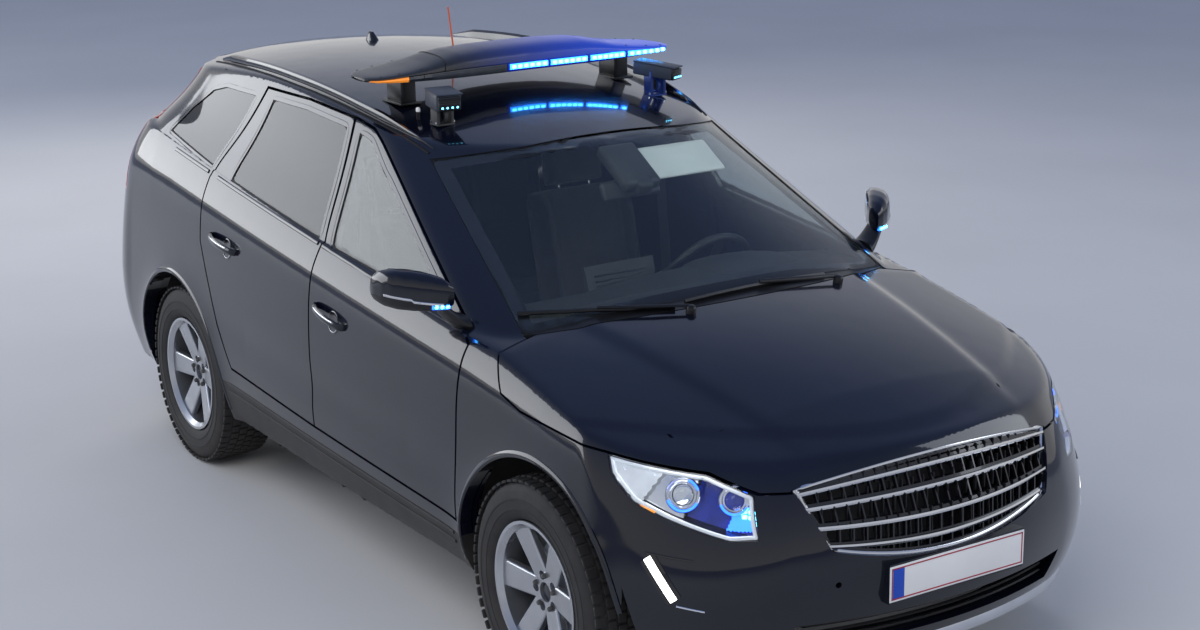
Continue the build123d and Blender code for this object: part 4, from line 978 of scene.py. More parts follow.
SKIN_NODES: tuple[str, ...] = (
    "bonnet", "cowl", "front_bumper", "front_valance", "rear_bumper", "roof", "tailgate", "tailgate_glass",
    "windscreen",
    *[f"{name}_{side}" for side in SIDES for name in (
        "body_side", "fender", "front_door", "front_door_frame", "rear_door", "front_door_glass",
        "rear_door_glass", "quarter_glass", "headlamp", "tail_lamp",
    )],
)


@dataclass
class Skin:
    """The car's outer surface: the CAD panels made finer, with rounded edges, creases and even normals."""

    finest: float = 0.025
    lamp_finest: float = 0.009
    reach: float = 0.046
    crease_line: tuple[Pair, ...] = (
        (-1.60, 0.922), (-1.0, 1.005), (0.096, 1.081), (1.40, 1.178), (2.0, 1.19)
    )
    crease_height: float = 0.0085
    crease_round: float = 0.026
    crease_fade: float = 0.075
    hollow_depth: float = 0.006
    hollow_height: float = 0.66
    arch_centres: tuple[Pair, ...] = ((-1.429, 0.3685), (1.345, 0.3685))
    arch_radius: float = 0.432
    flare_height: float = 0.014
    flare_round: float = 0.012
    flare_fade: float = 0.055
    bonnet_rise: float = 0.010
    bonnet_step: float = 0.011
    brow_depth: float = 0.007
    slope_step: float = 0.012
    least_shift: float = -0.014
    most_shift: float = 0.004
    outer_share: float = 0.34
    sharp_angle: float = 38.0
    middle: Point = (-1.5, 1.6, 0.75)
    cladding_line: Pair = (0.4475, 0.02)
    panels: dict[str, dict] = field(default_factory=dict)
    tree: BVHTree | None = None

    def relief(self, p: np.ndarray, n: np.ndarray) -> np.ndarray:
        """How far the pressed creases and flares stand out of the plain surface.

        Args:
            p: points, one row each.
            n: their outward normals.

        Returns:
            One height for each point, in metres.
        """
        x, y, z = np.abs(p[:, 0]), p[:, 1], p[:, 2]
        side = np.clip((np.abs(n[:, 0]) - 0.45) / 0.35, 0, 1)
        top = np.clip((n[:, 2] - 0.55) / 0.3, 0, 1)
        line_y, line_z = np.array(self.crease_line).T
        away = z - np.interp(y, line_y, line_z)
        shoulder = self.crease_height * np.exp(-np.sqrt(away**2 + self.crease_round**2) / self.crease_fade)
        shoulder *= np.clip((y + 1.75) / 0.3, 0, 1) * np.clip((2.0 - y) / 0.4, 0, 1)
        below = z - self.hollow_height - 0.03 * y
        hollow = -self.hollow_depth * np.exp(-((below / 0.075) ** 2))
        hollow *= np.clip((1.0 - np.abs(y)) / 0.35, 0, 1)
        flare = np.zeros(len(p))
        for ay, az in self.arch_centres:
            off = np.hypot(y - ay, z - az) - self.arch_radius
            fall = np.exp(-np.sqrt(off**2 + self.flare_round**2) / self.flare_fade)
            flare += self.flare_height * fall * (z > 0.26)
        bonnet_edge = np.interp(y, (-2.2, -1.15), (0.40, 0.555))
        step = 1 / (1 + np.exp((x - bonnet_edge) / self.bonnet_step))
        raised = self.bonnet_rise * step * np.clip((y + 2.16) / 0.22, 0, 1)
        raised *= np.clip((-1.06 - y) / 0.12, 0, 1) * (z < 1.25)
        lip = -2.10 + 0.26 * (x / 0.6) ** 2
        brow = self.brow_depth * np.clip((y - lip) / 0.05, -1, 0) * (y < -1.3)
        return side * (shoulder + hollow + flare) + top * (raised + brow)

    def build(self, nodes: Sequence[str]) -> None:
        """Makes each node's fine shape and normals.

        Args:
            nodes: the CAD nodes of the outer surface.
        """
        shapes = {node: node_shape(node) for node in nodes}
        tree = BVHTree.FromPolygons(*join_shapes(*shapes.values()))
        for node, shape in shapes.items():
            longest = self.lamp_finest if node.startswith("headlamp") else self.finest
            split = self.cladding_line if node.startswith("body_side") else None
            self.panels[node] = self._refined(shape, tree, split, longest)
        self._even_normals()
        outer = [
            (list(panel["points"]), [f for f, flag in zip(panel["faces"], panel["outer"]) if flag])
            for panel in self.panels.values()
        ]
        points, faces = join_shapes(*outer)
        self.tree = BVHTree.FromPolygons([tuple(p) for p in points], faces)

    def _outward(self, p: Vector, n: Vector) -> bool:
        """Whether a face looks away from the middle of the car.

        Args:
            p: the face's middle.
            n: its normal.

        Returns:
            True for an outer face.
        """
        front, back, height = self.middle
        away = p - Vector((0, min(max(p.y, front), back), height))
        return n.dot(away.normalized()) > self.outer_share

    def _refined(self, shape: Shape, tree: BVHTree, split: Pair | None, longest: float) -> dict:
        """Splits a node's long outer edges.

        Args:
            shape: its vertices and faces.
            tree: the whole surface, to tell outer faces from inner ones.
            split: the height and slope of a line where its finish changes.
            longest: the longest edge that is left whole.

        Returns:
            Its points, faces and outer flags.
        """
        mesh = bmesh.new()
        for p in shape[0]:
            mesh.verts.new(p)
        mesh.verts.ensure_lookup_table()
        mark = mesh.faces.layers.int.new("outer")
        for f in shape[1]:
            try:
                face = mesh.faces.new([mesh.verts[i] for i in f])
            except ValueError:
                continue
            face.normal_update()
            middle, out = face.calc_center_median(), face.normal
            seen = self._outward(middle, out) and tree.ray_cast(middle + out * 0.002, out, 0.65)[0] is None
            face[mark] = int(seen)
        if split:
            bmesh.ops.bisect_plane(
                mesh, geom=[*mesh.verts, *mesh.edges, *mesh.faces], dist=1e-4, plane_co=(0, 0, split[0]),
                plane_no=(0, -split[1], 1),
            )
            bmesh.ops.triangulate(mesh, faces=[f for f in mesh.faces if len(f.verts) > 3])
        for _ in range(8):
            long_edges = [
                e for e in mesh.edges
                if e.calc_length() > longest and any(f[mark] for f in e.link_faces)
            ]
            if not long_edges:
                break
            bmesh.ops.subdivide_edges(mesh, edges=long_edges, cuts=1)
            bmesh.ops.triangulate(mesh, faces=[f for f in mesh.faces if len(f.verts) > 3])
        mesh.verts.index_update()
        made = {
            "points": np.array([v.co for v in mesh.verts], float),
            "faces": [[v.index for v in f.verts] for f in mesh.faces],
            "outer": np.array([f[mark] for f in mesh.faces], bool),
        }
        mesh.free()
        return made

    def _even_normals(self) -> None:
        """Averages the outer normals across panels, rounds sharp turns and adds the creases."""
        centres, normals, areas = [], [], []
        for panel in self.panels.values():
            points = panel["points"]
            index = np.array(panel["faces"])
            a, b, c = (points[index[:, k]] for k in range(3))
            cross = np.cross(b - a, c - a)
            size = np.linalg.norm(cross, axis=1)
            unit = cross / np.maximum(size, 1e-12)[:, None]
            flags = panel["outer"]
            total = np.zeros_like(points)
            for k in range(3):
                np.add.at(total, index[flags, k], cross[flags])
            length = np.linalg.norm(total, axis=1)
            panel["near"] = total / np.maximum(length, 1e-12)[:, None]
            panel["on_skin"] = length > 1e-12
            centres.append(((a + b + c) / 3)[flags])
            normals.append(unit[flags])
            areas.append(size[flags])
        centre, normal, area = np.vstack(centres), np.vstack(normals), np.concatenate(areas)
        tree = self._point_tree(centre)
        rims = [panel["points"][self._rim_points(panel)] for panel in self.panels.values()]
        edges = self._point_tree(np.vstack(rims))
        for panel in self.panels.values():
            points, near = panel["points"], panel["near"]
            even = near.copy()
            shift = np.zeros(len(points))
            for i in np.nonzero(panel["on_skin"])[0]:
                found = tree.find_range(points[i], self.reach)
                which = np.array([f[1] for f in found], int)
                if not len(which):
                    continue
                away = np.array([f[2] for f in found])
                facing_share = np.clip(normal[which] @ near[i] - 0.1, 0, 1)
                weight = area[which] * (1 - (away / self.reach) ** 2) ** 2 * facing_share
                if weight.sum() < 1e-12:
                    continue
                mean = (normal[which] * weight[:, None]).sum(0)
                even[i] = mean / max(np.linalg.norm(mean), 1e-9)
                middle = (centre[which] * weight[:, None]).sum(0) / weight.sum()
                fade = min(edges.find(points[i])[2] / self.reach, 1.0)
                shift[i] = fade * np.clip((middle - points[i]) @ even[i], self.least_shift, self.most_shift)
            lifted = self.relief(points, even)
            slope = np.zeros_like(points)
            for axis in range(3):
                step = np.zeros(3)
                step[axis] = self.slope_step
                rise = self.relief(points + step, even) - self.relief(points - step, even)
                slope[:, axis] = rise / (2 * self.slope_step)
            slope -= even * (slope * even).sum(1)[:, None]
            tilted = even - slope
            tilted /= np.maximum(np.linalg.norm(tilted, axis=1), 1e-9)[:, None]
            move = np.where(panel["on_skin"], shift + lifted, 0.0)
            panel["points"] = points + even * move[:, None]
            panel["even"] = tilted

    @staticmethod
    def _point_tree(points: np.ndarray) -> KDTree:
        """A tree that finds the nearest of many points.

        Args:
            points: the points.

        Returns:
            The tree.
        """
        tree = KDTree(len(points))
        for i, p in enumerate(points):
            tree.insert(p, i)
        tree.balance()
        return tree

    @staticmethod
    def _rim_points(panel: dict) -> np.ndarray:
        """The points where a panel's outer faces meet its edge faces.

        Args:
            panel: the panel's faces and which of them are outer ones.

        Returns:
            The points' numbers.
        """
        index = np.array(panel["faces"])
        outer, inner = (np.unique(index[flags]) for flags in (panel["outer"], ~panel["outer"]))
        return np.intersect1d(outer, inner)

    def panel(self, node: str, finish: Finish, below: Finish | None = None, slot: Slot | None = None) -> None:
        """Makes one panel's piece, which stands for its CAD node.

        Args:
            node: the CAD node.
            finish: what it is made of.
            below: its finish under the cladding line.
            slot: its material slot, where that isn't the finish's usual one.
        """
        data = self.panels[node]
        mesh = bpy.data.meshes.new(f"{node}_skin")
        mesh.from_pydata([tuple(p) for p in data["points"]], [], data["faces"])
        mesh.shade_smooth()
        mesh.set_sharp_from_angle(angle=math.radians(self.sharp_angle))
        custom = np.zeros((len(mesh.loops), 3))
        index = np.array(data["faces"])
        flags = np.repeat(data["outer"], 3)
        custom[flags] = data["even"][index.ravel()][flags]
        mesh.normals_split_custom_set([tuple(v) for v in custom])
        dress_piece(bpy.data.objects.new(mesh.name, mesh), finish, node_body(node), [node], 0, slot)
        if below:
            mesh.materials.append(below.material())
            height, slope = self.cladding_line
            middle = data["points"][index].mean(1)
            lower = middle[:, 2] < height + slope * middle[:, 1]
            mesh.polygons.foreach_set("material_index", lower.astype(np.int32))

    def patch(
        self, node: str, keep: Callable[[np.ndarray], bool] | None = None
    ) -> tuple[np.ndarray, list, np.ndarray]:
        """A node's outer faces alone, with the normal at each point.

        Args:
            node: the CAD node.
            keep: tells from a face's middle whether it is taken.

        Returns:
            The points, the faces and the normals.
        """
        data = self.panels[node]
        faces = [
            f for f, flag in zip(data["faces"], data["outer"])
            if flag and (keep is None or keep(data["points"][f].mean(0)))
        ]
        used = sorted({i for f in faces for i in f})
        place = {old: new for new, old in enumerate(used)}
        return data["points"][used], [[place[i] for i in f] for f in faces], data["even"][used]

    def shell(
        self, node: str, inset: float, thickness: float, keep: Callable[[np.ndarray], bool] | None = None
    ) -> Shape:
        """A sheet that follows a node's outer faces.

        Args:
            node: the CAD node.
            inset: how far below the surface its outside lies.
            thickness: its thickness.
            keep: tells from a face's middle whether it belongs to the sheet.

        Returns:
            The vertices and faces.
        """
        points, faces, normals = self.patch(node, keep)
        outside, inside = points - normals * inset, points - normals * (inset + thickness)
        count = len(points)
        made = [list(f) for f in faces] + [[i + count for i in reversed(f)] for f in faces]
        edges = dict.fromkeys((a, b) for f in faces for a, b in zip(f, f[1:] + f[:1]))
        for a, b in edges:
            if (b, a) not in edges:
                made.append([b, a, a + count, b + count])
        return [tuple(p) for p in np.vstack([outside, inside])], made

    def edge(self, node: str, count: int = 160) -> tuple[np.ndarray, np.ndarray, np.ndarray]:
        """The outline of a node's outer face as an even loop.

        Args:
            node: the CAD node.
            count: the number of points round it.

        Returns:
            The points, their surface normals and the directions to the face's inside.
        """
        points, faces, normals = self.patch(node)
        after: dict[int, int] = {}
        pairs = {(a, b) for f in faces for a, b in zip(f, f[1:] + f[:1])}
        for a, b in pairs:
            if (b, a) not in pairs:
                after[a] = b
        loops = []
        while after:
            loop = [next(iter(after))]
            while loop[-1] in after:
                loop.append(after.pop(loop[-1]))
            loops.append(loop)
        loop = max(loops, key=lambda ring: np.linalg.norm(np.diff(points[ring], axis=0), axis=1).sum())
        place = even_steps(points[loop], count, closed=True)
        normal = even_steps(points[loop], count, normals[loop], closed=True)
        for _ in range(3):
            normal = normal + np.roll(normal, 1, 0) + np.roll(normal, -1, 0)
            normal /= np.linalg.norm(normal, axis=1)[:, None]
            place = (2 * place + np.roll(place, 1, 0) + np.roll(place, -1, 0)) / 4
        tangent = np.roll(place, -2, 0) - np.roll(place, 2, 0)
        inward = np.cross(normal, tangent)
        inward /= np.maximum(np.linalg.norm(inward, axis=1), 1e-9)[:, None]
        return place, normal, inward

    def rim(
        self, node: str, start: float, width: float, inset: float, thickness: float, count: int = 160,
        crown: float = 0.0008,
    ) -> Shape:
        """A band along the inside of a node's outline, such as a seal or a printed border.

        Args:
            node: the CAD node.
            start: the distance from the outline to the band.
            width: the band's width.
            inset: how far below the surface its outside lies.
            thickness: its thickness.
            count: the number of points round it.
            crown: how far its middle stands out.

        Returns:
            The vertices and faces.
        """
        place, normal, inward = self.edge(node, count)
        for _ in range(6):
            inward = inward + np.roll(inward, 1, 0) + np.roll(inward, -1, 0)
            inward /= np.maximum(np.linalg.norm(inward, axis=1), 1e-9)[:, None]
        section = (
            (start, inset + thickness), (start, inset), (start + width / 2, inset - crown),
            (start + width, inset), (start + width, inset + thickness),
        )
        rings = [[tuple(p + d * a - n * b) for a, b in section] for p, n, d in zip(place, normal, inward)]
        return loft(rings, caps=False, round_trip=True)

    def hit(self, start: Point, direction: Point, reach: float = 6.0) -> tuple[Vector, Vector] | None:
        """Where a line from outside first meets the surface, and the normal there.

        Args:
            start: where the line starts.
            direction: which way it runs.
            reach: how far it runs.

        Returns:
            The place and the normal, or None.
        """
        place, normal, _, _ = self.tree.ray_cast(Vector(start), Vector(direction).normalized(), reach)
        if place is None:
            return None
        return place, normal if normal.dot(Vector(direction)) < 0 else -normal

    def trace(
        self, points: Sequence[Point], out: Point, count: int = 24, reach: float = 0.35
    ) -> tuple[list[Vector], list[Vector]]:
        """Drops an even path on to the surface.

        Args:
            points: the path's corners, near the surface.
            out: the direction it is dropped from.
            count: the number of points along it.
            reach: how far from the path the surface may be.

        Returns:
            The places on the surface and the normals there.
        """
        away = Vector(out).normalized()
        found = [self.hit(Vector(p) + away * reach, -away, 2 * reach) for p in even_steps(points, count)]
        good = [f for f in found if f]
        return [f[0] for f in good], [f[1] for f in good]

    def strip(
        self, name: str, corners: Sequence[Point], out: Point, section: Pair, finish: Finish, count: int,
        body: str = "root", slot: Slot | None = None, reach: float = 0.35,
    ) -> None:
        """Lays a rounded strip on the surface, where enough of its path meets it.

        Args:
            name: the piece's name.
            corners: its path's corners, near the surface.
            out: the direction they are dropped from.
            section: its width and height.
            finish: what it is made of.
            count: the number of points along it.
            body: the CAD body that it rides on.
            slot: its material slot, where that isn't the finish's usual one.
            reach: how far from the path the surface may be.
        """
        path, outs = self.trace(corners, out, count, reach)
        if len(path) > 3:
            make_piece(name, swept(path, outs, strip_profile(*section)), finish, body, slot=slot)

    def side(self, y: float, z: float, sign: int = 1) -> tuple[Vector, Vector] | None:
        """The body side at a height."""
        return self.hit((sign * 1.6, y, z), (-sign, 0, 0))

    def nose(self, x: float, z: float) -> tuple[Vector, Vector] | None:
        """The front at a height."""
        return self.hit((x, -3.0, z), (0, 1, 0))

    def above(self, x: float, y: float) -> tuple[Vector, Vector] | None:
        """The top at a place."""
        return self.hit((x, y, 2.6), (0, 0, -1))


@dataclass
class Coachwork:
    """Painted panels, glazing, seals, trims and roof rails."""

    skin: Skin
    seal_width: float = 0.013
    frit_width: float = 0.052
    lip_radius: float = 0.441
    lip_profile: tuple[Pair, ...] = (
        (-0.012, -0.007), (0.0015, -0.007), (0.004, -0.002), (0.002, 0.008), (-0.003, 0.014)
    )
    belt_section: Pair = (0.016, 0.0045)
    belt_slope: float = 0.0913
    belts: tuple[tuple[str, float, float], ...] = (
        ("front_door", -0.86, 0.045), ("rear_door", 0.085, 0.98), ("quarter", 1.07, 1.42)
    )
    ridge_section: Pair = (0.012, 0.004)
    ridge_heights: Pair = (0.385, 0.418)
    rail_line: tuple[Pair, ...] = (
        (-0.235, 0.592), (-0.10, 0.600), (0.25, 0.603), (0.80, 0.594), (1.30, 0.575), (1.62, 0.550)
    )
    rail_width: float = 0.030
    rail_height: float = 0.030
    gutter_section: Pair = (0.010, 0.003)
    plate_face: float = 2.3185

    def panels(self) -> None:
        """Finishes the painted panels and lets the number plates into their pads."""
        clad = [f"body_side_{side}" for side in SIDES]
        for node in SKIN_NODES:
            if "glass" in node or "lamp" in node or node == "windscreen":
                continue
            points = self.skin.panels[node]["points"]
            points[:, 1] = np.clip(points[:, 1], -self.plate_face, self.plate_face)
            finish = BLACK_TRIM if node == "cowl" else BLACK_PAINT
            self.skin.panel(node, finish, CLADDING if node in clad else None, Slot.PAINT)

    def glazing(self) -> None:
        """Finishes the panes, their printed borders and their seals."""
        rim = self.skin.rim
        for node, finish in (("windscreen", CLEAR_GLASS), ("tailgate_glass", DARK_GLASS)):
            self.skin.panel(node, finish)
            body = node_body(node)
            border = rim(node, 0.0, self.frit_width, 0.0058, 0.0008, 200, 0.0)
            seal = rim(node, -0.008, self.seal_width, -0.0015, 0.008, 200)
            make_piece(f"{node}_border", border, FRIT, body)
            make_piece(f"{node}_seal", seal, SEAL_RUBBER, body)
        panes = (
            ("front_door_glass", SIDE_GLASS), ("rear_door_glass", DARK_GLASS), ("quarter_glass", DARK_GLASS)
        )
        for side in SIDES:
            for name, finish in panes:
                node = f"{name}_{side}"
                self.skin.panel(node, finish)
                body = node_body(node)
                seal = rim(node, -0.010, self.seal_width, -0.002, 0.008)
                trim = rim(node, -0.019, 0.008, -0.003, 0.006, crown=0.0015)
                make_piece(f"{node}_seal", seal, SEAL_RUBBER, body)
                make_piece(f"{node}_trim", trim, GLOSS_BLACK, body)

    def mouldings(self) -> None:
        """Lays a slim moulding under the side windows, and the two ridges of the sill cladding."""
        for side, sign in SIDES.items():
            for name, start, end in self.belts:
                line = [(sign * 0.9, y, 1.052 + self.belt_slope * (y + 1.1) + 0.012) for y in (start, end)]
                body = "root" if name == "quarter" else f"{name}_{side}"
                self.skin.strip(
                    f"{name}_belt_{side}", line, (sign, 0, 0), self.belt_section, GLOSS_BLACK, 26, body=body
                )
        for side, sign in SIDES.items():
            for k, low in enumerate(self.ridge_heights):
                name = f"sill_ridge_{side}_{k + 1}"
                line = [(sign * 0.9, -0.94, low), (sign * 0.9, 0.86, low + 0.038)]
                self.skin.strip(name, line, (sign, 0, 0), self.ridge_section, CLADDING, 40)

    def arch_lips(self) -> None:
        """Rolls a lip round each wheel arch."""
        for side, sign in SIDES.items():
            for end, (ay, az) in zip(("front", "rear"), self.skin.arch_centres):
                path, across = [], []
                for step in range(61):
                    a = math.radians(-4 + step * 188 / 60)
                    spoke = Vector((0, math.cos(a), math.sin(a)))
                    y, z = ay + spoke.y * self.lip_radius, az + spoke.z * self.lip_radius
                    found = self.skin.side(y, z, sign)
                    if found and abs(found[0].x) > 0.80:
                        path.append(found[0])
                        across.append(spoke)
                if len(path) > 8:
                    lip = swept(path, [(sign, 0, 0.05)] * len(path), self.lip_profile, across)
                    make_piece(f"{end}_arch_lip_{side}", lip, BLACK_PAINT)

    def rails(self) -> None:
        """Sets the flush roof rails along both roof edges."""
        half, high = self.rail_width / 2, self.rail_height
        profile = [
            (-0.004, -half), (0.7 * high, -half * 0.9), (high, -half * 0.3), (high * 0.92, half * 0.5),
            (0.4 * high, half), (-0.004, half),
        ]
        for side, sign in SIDES.items():
            line = [(sign * x, y, 1.62) for y, x in self.rail_line]
            path, outs = self.skin.trace(line, (sign * 0.25, 0, 1.0), 60, 0.5)
            count = len(path)
            sizes = [
                min(1.0, 0.12 + 5.5 * i / count, 0.25 + 9 * (count - 1 - i) / count) for i in range(count)
            ]
            make_piece(f"roof_rail_{side}", swept(path, outs, profile, (sign, 0, 0), sizes), GLOSS_BLACK)
            low = [(sign * (x + 0.026), y, 1.60) for y, x in self.rail_line]
            self.skin.strip(
                f"roof_gutter_{side}", low, (sign * 0.35, 0, 1.0), self.gutter_section, SEAL_RUBBER, 60,
                reach=0.5,
            )

    def build(self) -> None:
        """Builds the coachwork."""
        self.panels()
        self.glazing()
        self.mouldings()
        self.arch_lips()
        self.rails()


@dataclass
class Headlamp:
    """One headlamp with its inner lamps; places are those of the right-hand side."""

    skin: Skin
    side: str
    projector: Point = (-0.740, -1.971, 0.822)
    reflector: Point = (-0.634, -2.074, 0.814)
    tip: Point = (-0.582, -2.132, 0.775)
    projector_radius: float = 0.052
    reflector_radius: float = 0.046
    depth: float = 0.058
    lamp_sunk: float = 0.026
    rings: tuple[Pair, ...] = (
        (1.0, -0.012), (1.0, 0.004), (0.95, 0.007), (0.90, 0.003), (0.84, 0.001), (0.80, 0.003),
        (0.76, -0.001), (0.66, -0.005), (0.62, -0.003), (0.58, -0.010),
    )
    bowl: tuple[Pair, ...] = ((0.0, -0.006), (0.30, -0.007), (0.60, -0.010))
    dome: tuple[Pair, ...] = (
        (0.0, 0.014), (0.2, 0.013), (0.38, 0.009), (0.52, 0.003), (0.58, -0.003), (0.0, -0.004)
    )
    led_size: Point = (0.0075, 0.006, 0.004)
    marker_ends: tuple[Point, Point] = ((-0.846, -1.832, 0.792), (-0.803, -1.920, 0.768))

    @property
    def sign(self) -> int:
        """The side's sign."""
        return SIDES[self.side]

    @property
    def node(self) -> str:
        """The CAD node that it stands for."""
        return f"headlamp_{self.side}"

    @property
    def out(self) -> Vector:
        """The direction that the lamps look in."""
        return Vector((self.sign * 0.60, -0.74, 0.26)).normalized()

    def _piece(self, name: str, shape: Shape, finish: Finish, replaces: Iterable[str] = ()) -> None:
        """Adds one piece of the lamp."""
        make_piece(f"{self.node}_{name}", shape, finish, replaces=replaces, angle=45, slot=Slot.LAMP_LENS)

    def housing(self) -> None:
        """Builds the clear cover, the dark tub and the pale light band."""
        shell, rim, node = self.skin.shell, self.skin.rim, self.node
        self._piece("cover", shell(node, 0.0005, 0.003), LAMP_GLASS, [node])
        self._piece("tub", shell(node, self.depth, 0.003), GLOSS_BLACK)
        self._piece("wall", rim(node, 0.001, 0.003, 0.005, self.depth - 0.003, 200, 0.0), GLOSS_BLACK)
        self._piece("light_band", rim(node, 0.003, 0.012, 0.009, 0.010, 200, 0.002), LAMP_WHITE)
        corner = shell(node, 0.014, 0.003, lambda p: p[1] > -1.885 - 0.35 * (p[2] - 0.82))
        self._piece("light_corner", corner, LAMP_WHITE)
        self._piece("chrome_shelf", shell(node, 0.034, 0.003, lambda p: -1.985 < p[1] <= -1.870), LAMP_CHROME)
        self._piece("blue_tub", shell(node, 0.050, 0.003, lambda p: p[1] < -1.99), BLUE_PLASTIC)

    def lamp(self, name: str, place: Point, radius: float, bowl: Finish) -> None:
        """Builds one round lamp with stepped chrome rings and a domed lens.

        Args:
            name: its name.
            place: its middle on the cover.
            radius: its outer radius.
            bowl: the finish inside its rings.
        """
        centre = Vector(mirrored_point(place, self.sign)) - self.out * self.lamp_sunk
        for part, shares, sides, finish in (
            ("rings", self.rings, 64, LAMP_CHROME), ("bowl", self.bowl, 40, bowl),
            ("dome", self.dome, 40, LAMP_GLASS),
        ):
            profile = [(radius * share, height) for share, height in shares]
            self._piece(f"{name}_{part}", lathe(profile, centre, self.out, sides), finish)

    def flashers(self) -> None:
        """Builds the blue flasher cluster at the lamp's inner end, and glowing blue arcs round the round lamps that
        are painted glints of the blue light.
        """
        out, middle = self.out, Vector(mirrored_point(self.tip, self.sign))
        along = Vector((self.sign * 0.66, 0.70, 0.05))
        points = []
        for column in range(4):
            for row in range(3):
                drop = Vector((0, 0, -0.017 * row + 0.006))
                points.append(tuple(middle + along * (0.019 * (column - 0.4)) + drop - out * 0.026))
        turn = tuple(facing(out).to_euler())
        RepeatTree.piece(f"{self.node}_flasher_leds", unit_block(0.5), points, turn, self.led_size, BLUE_CORE)
        back = self.skin.shell(
            self.node, 0.040, 0.003, lambda p: -2.150 < p[1] < -2.085 and 0.735 < p[2] < 0.80
        )
        self._piece("flasher_back", back, BLUE_GLOW)
        # Glowing blue arcs inside the chrome rings: painted glints, standing for the blue flasher light reflected
        # round the round lamps.
        glints = []
        x, y = facing(out).col[0], facing(out).col[1]
        lamps = ((self.projector, self.projector_radius), (self.reflector, self.reflector_radius))
        for place, radius in lamps:
            centre = Vector(mirrored_point(place, self.sign)) - out * 0.022
            for start, end in ((200, 330), (20, 70)):
                steps = [math.radians(start + (end - start) * k / 8) for k in range(9)]
                path = [centre + (x * math.cos(a) + y * math.sin(a)) * radius * 0.88 for a in steps]
                glints.append(tube(path, 0.0028, 8))
        self._piece("flash_arcs", join_shapes(*glints), BLUE_GLOW)

    def amber(self) -> None:
        """Builds the amber marker strip."""
        ends = [mirrored_point(p, self.sign) for p in self.marker_ends]
        path, outs = self.skin.trace(ends, (self.sign * 0.7, -0.7, 0), 12)
        self._piece("amber_strip", tube([p - n * 0.009 for p, n in zip(path, outs)], 0.006, 8), AMBER)

    def build(self) -> None:
        """Builds the headlamp."""
        self.housing()
        self.lamp("projector", self.projector, self.projector_radius, LAMP_CHROME)
        self.lamp("reflector", self.reflector, self.reflector_radius, BLUE_PLASTIC)
        self.flashers()
        self.amber()


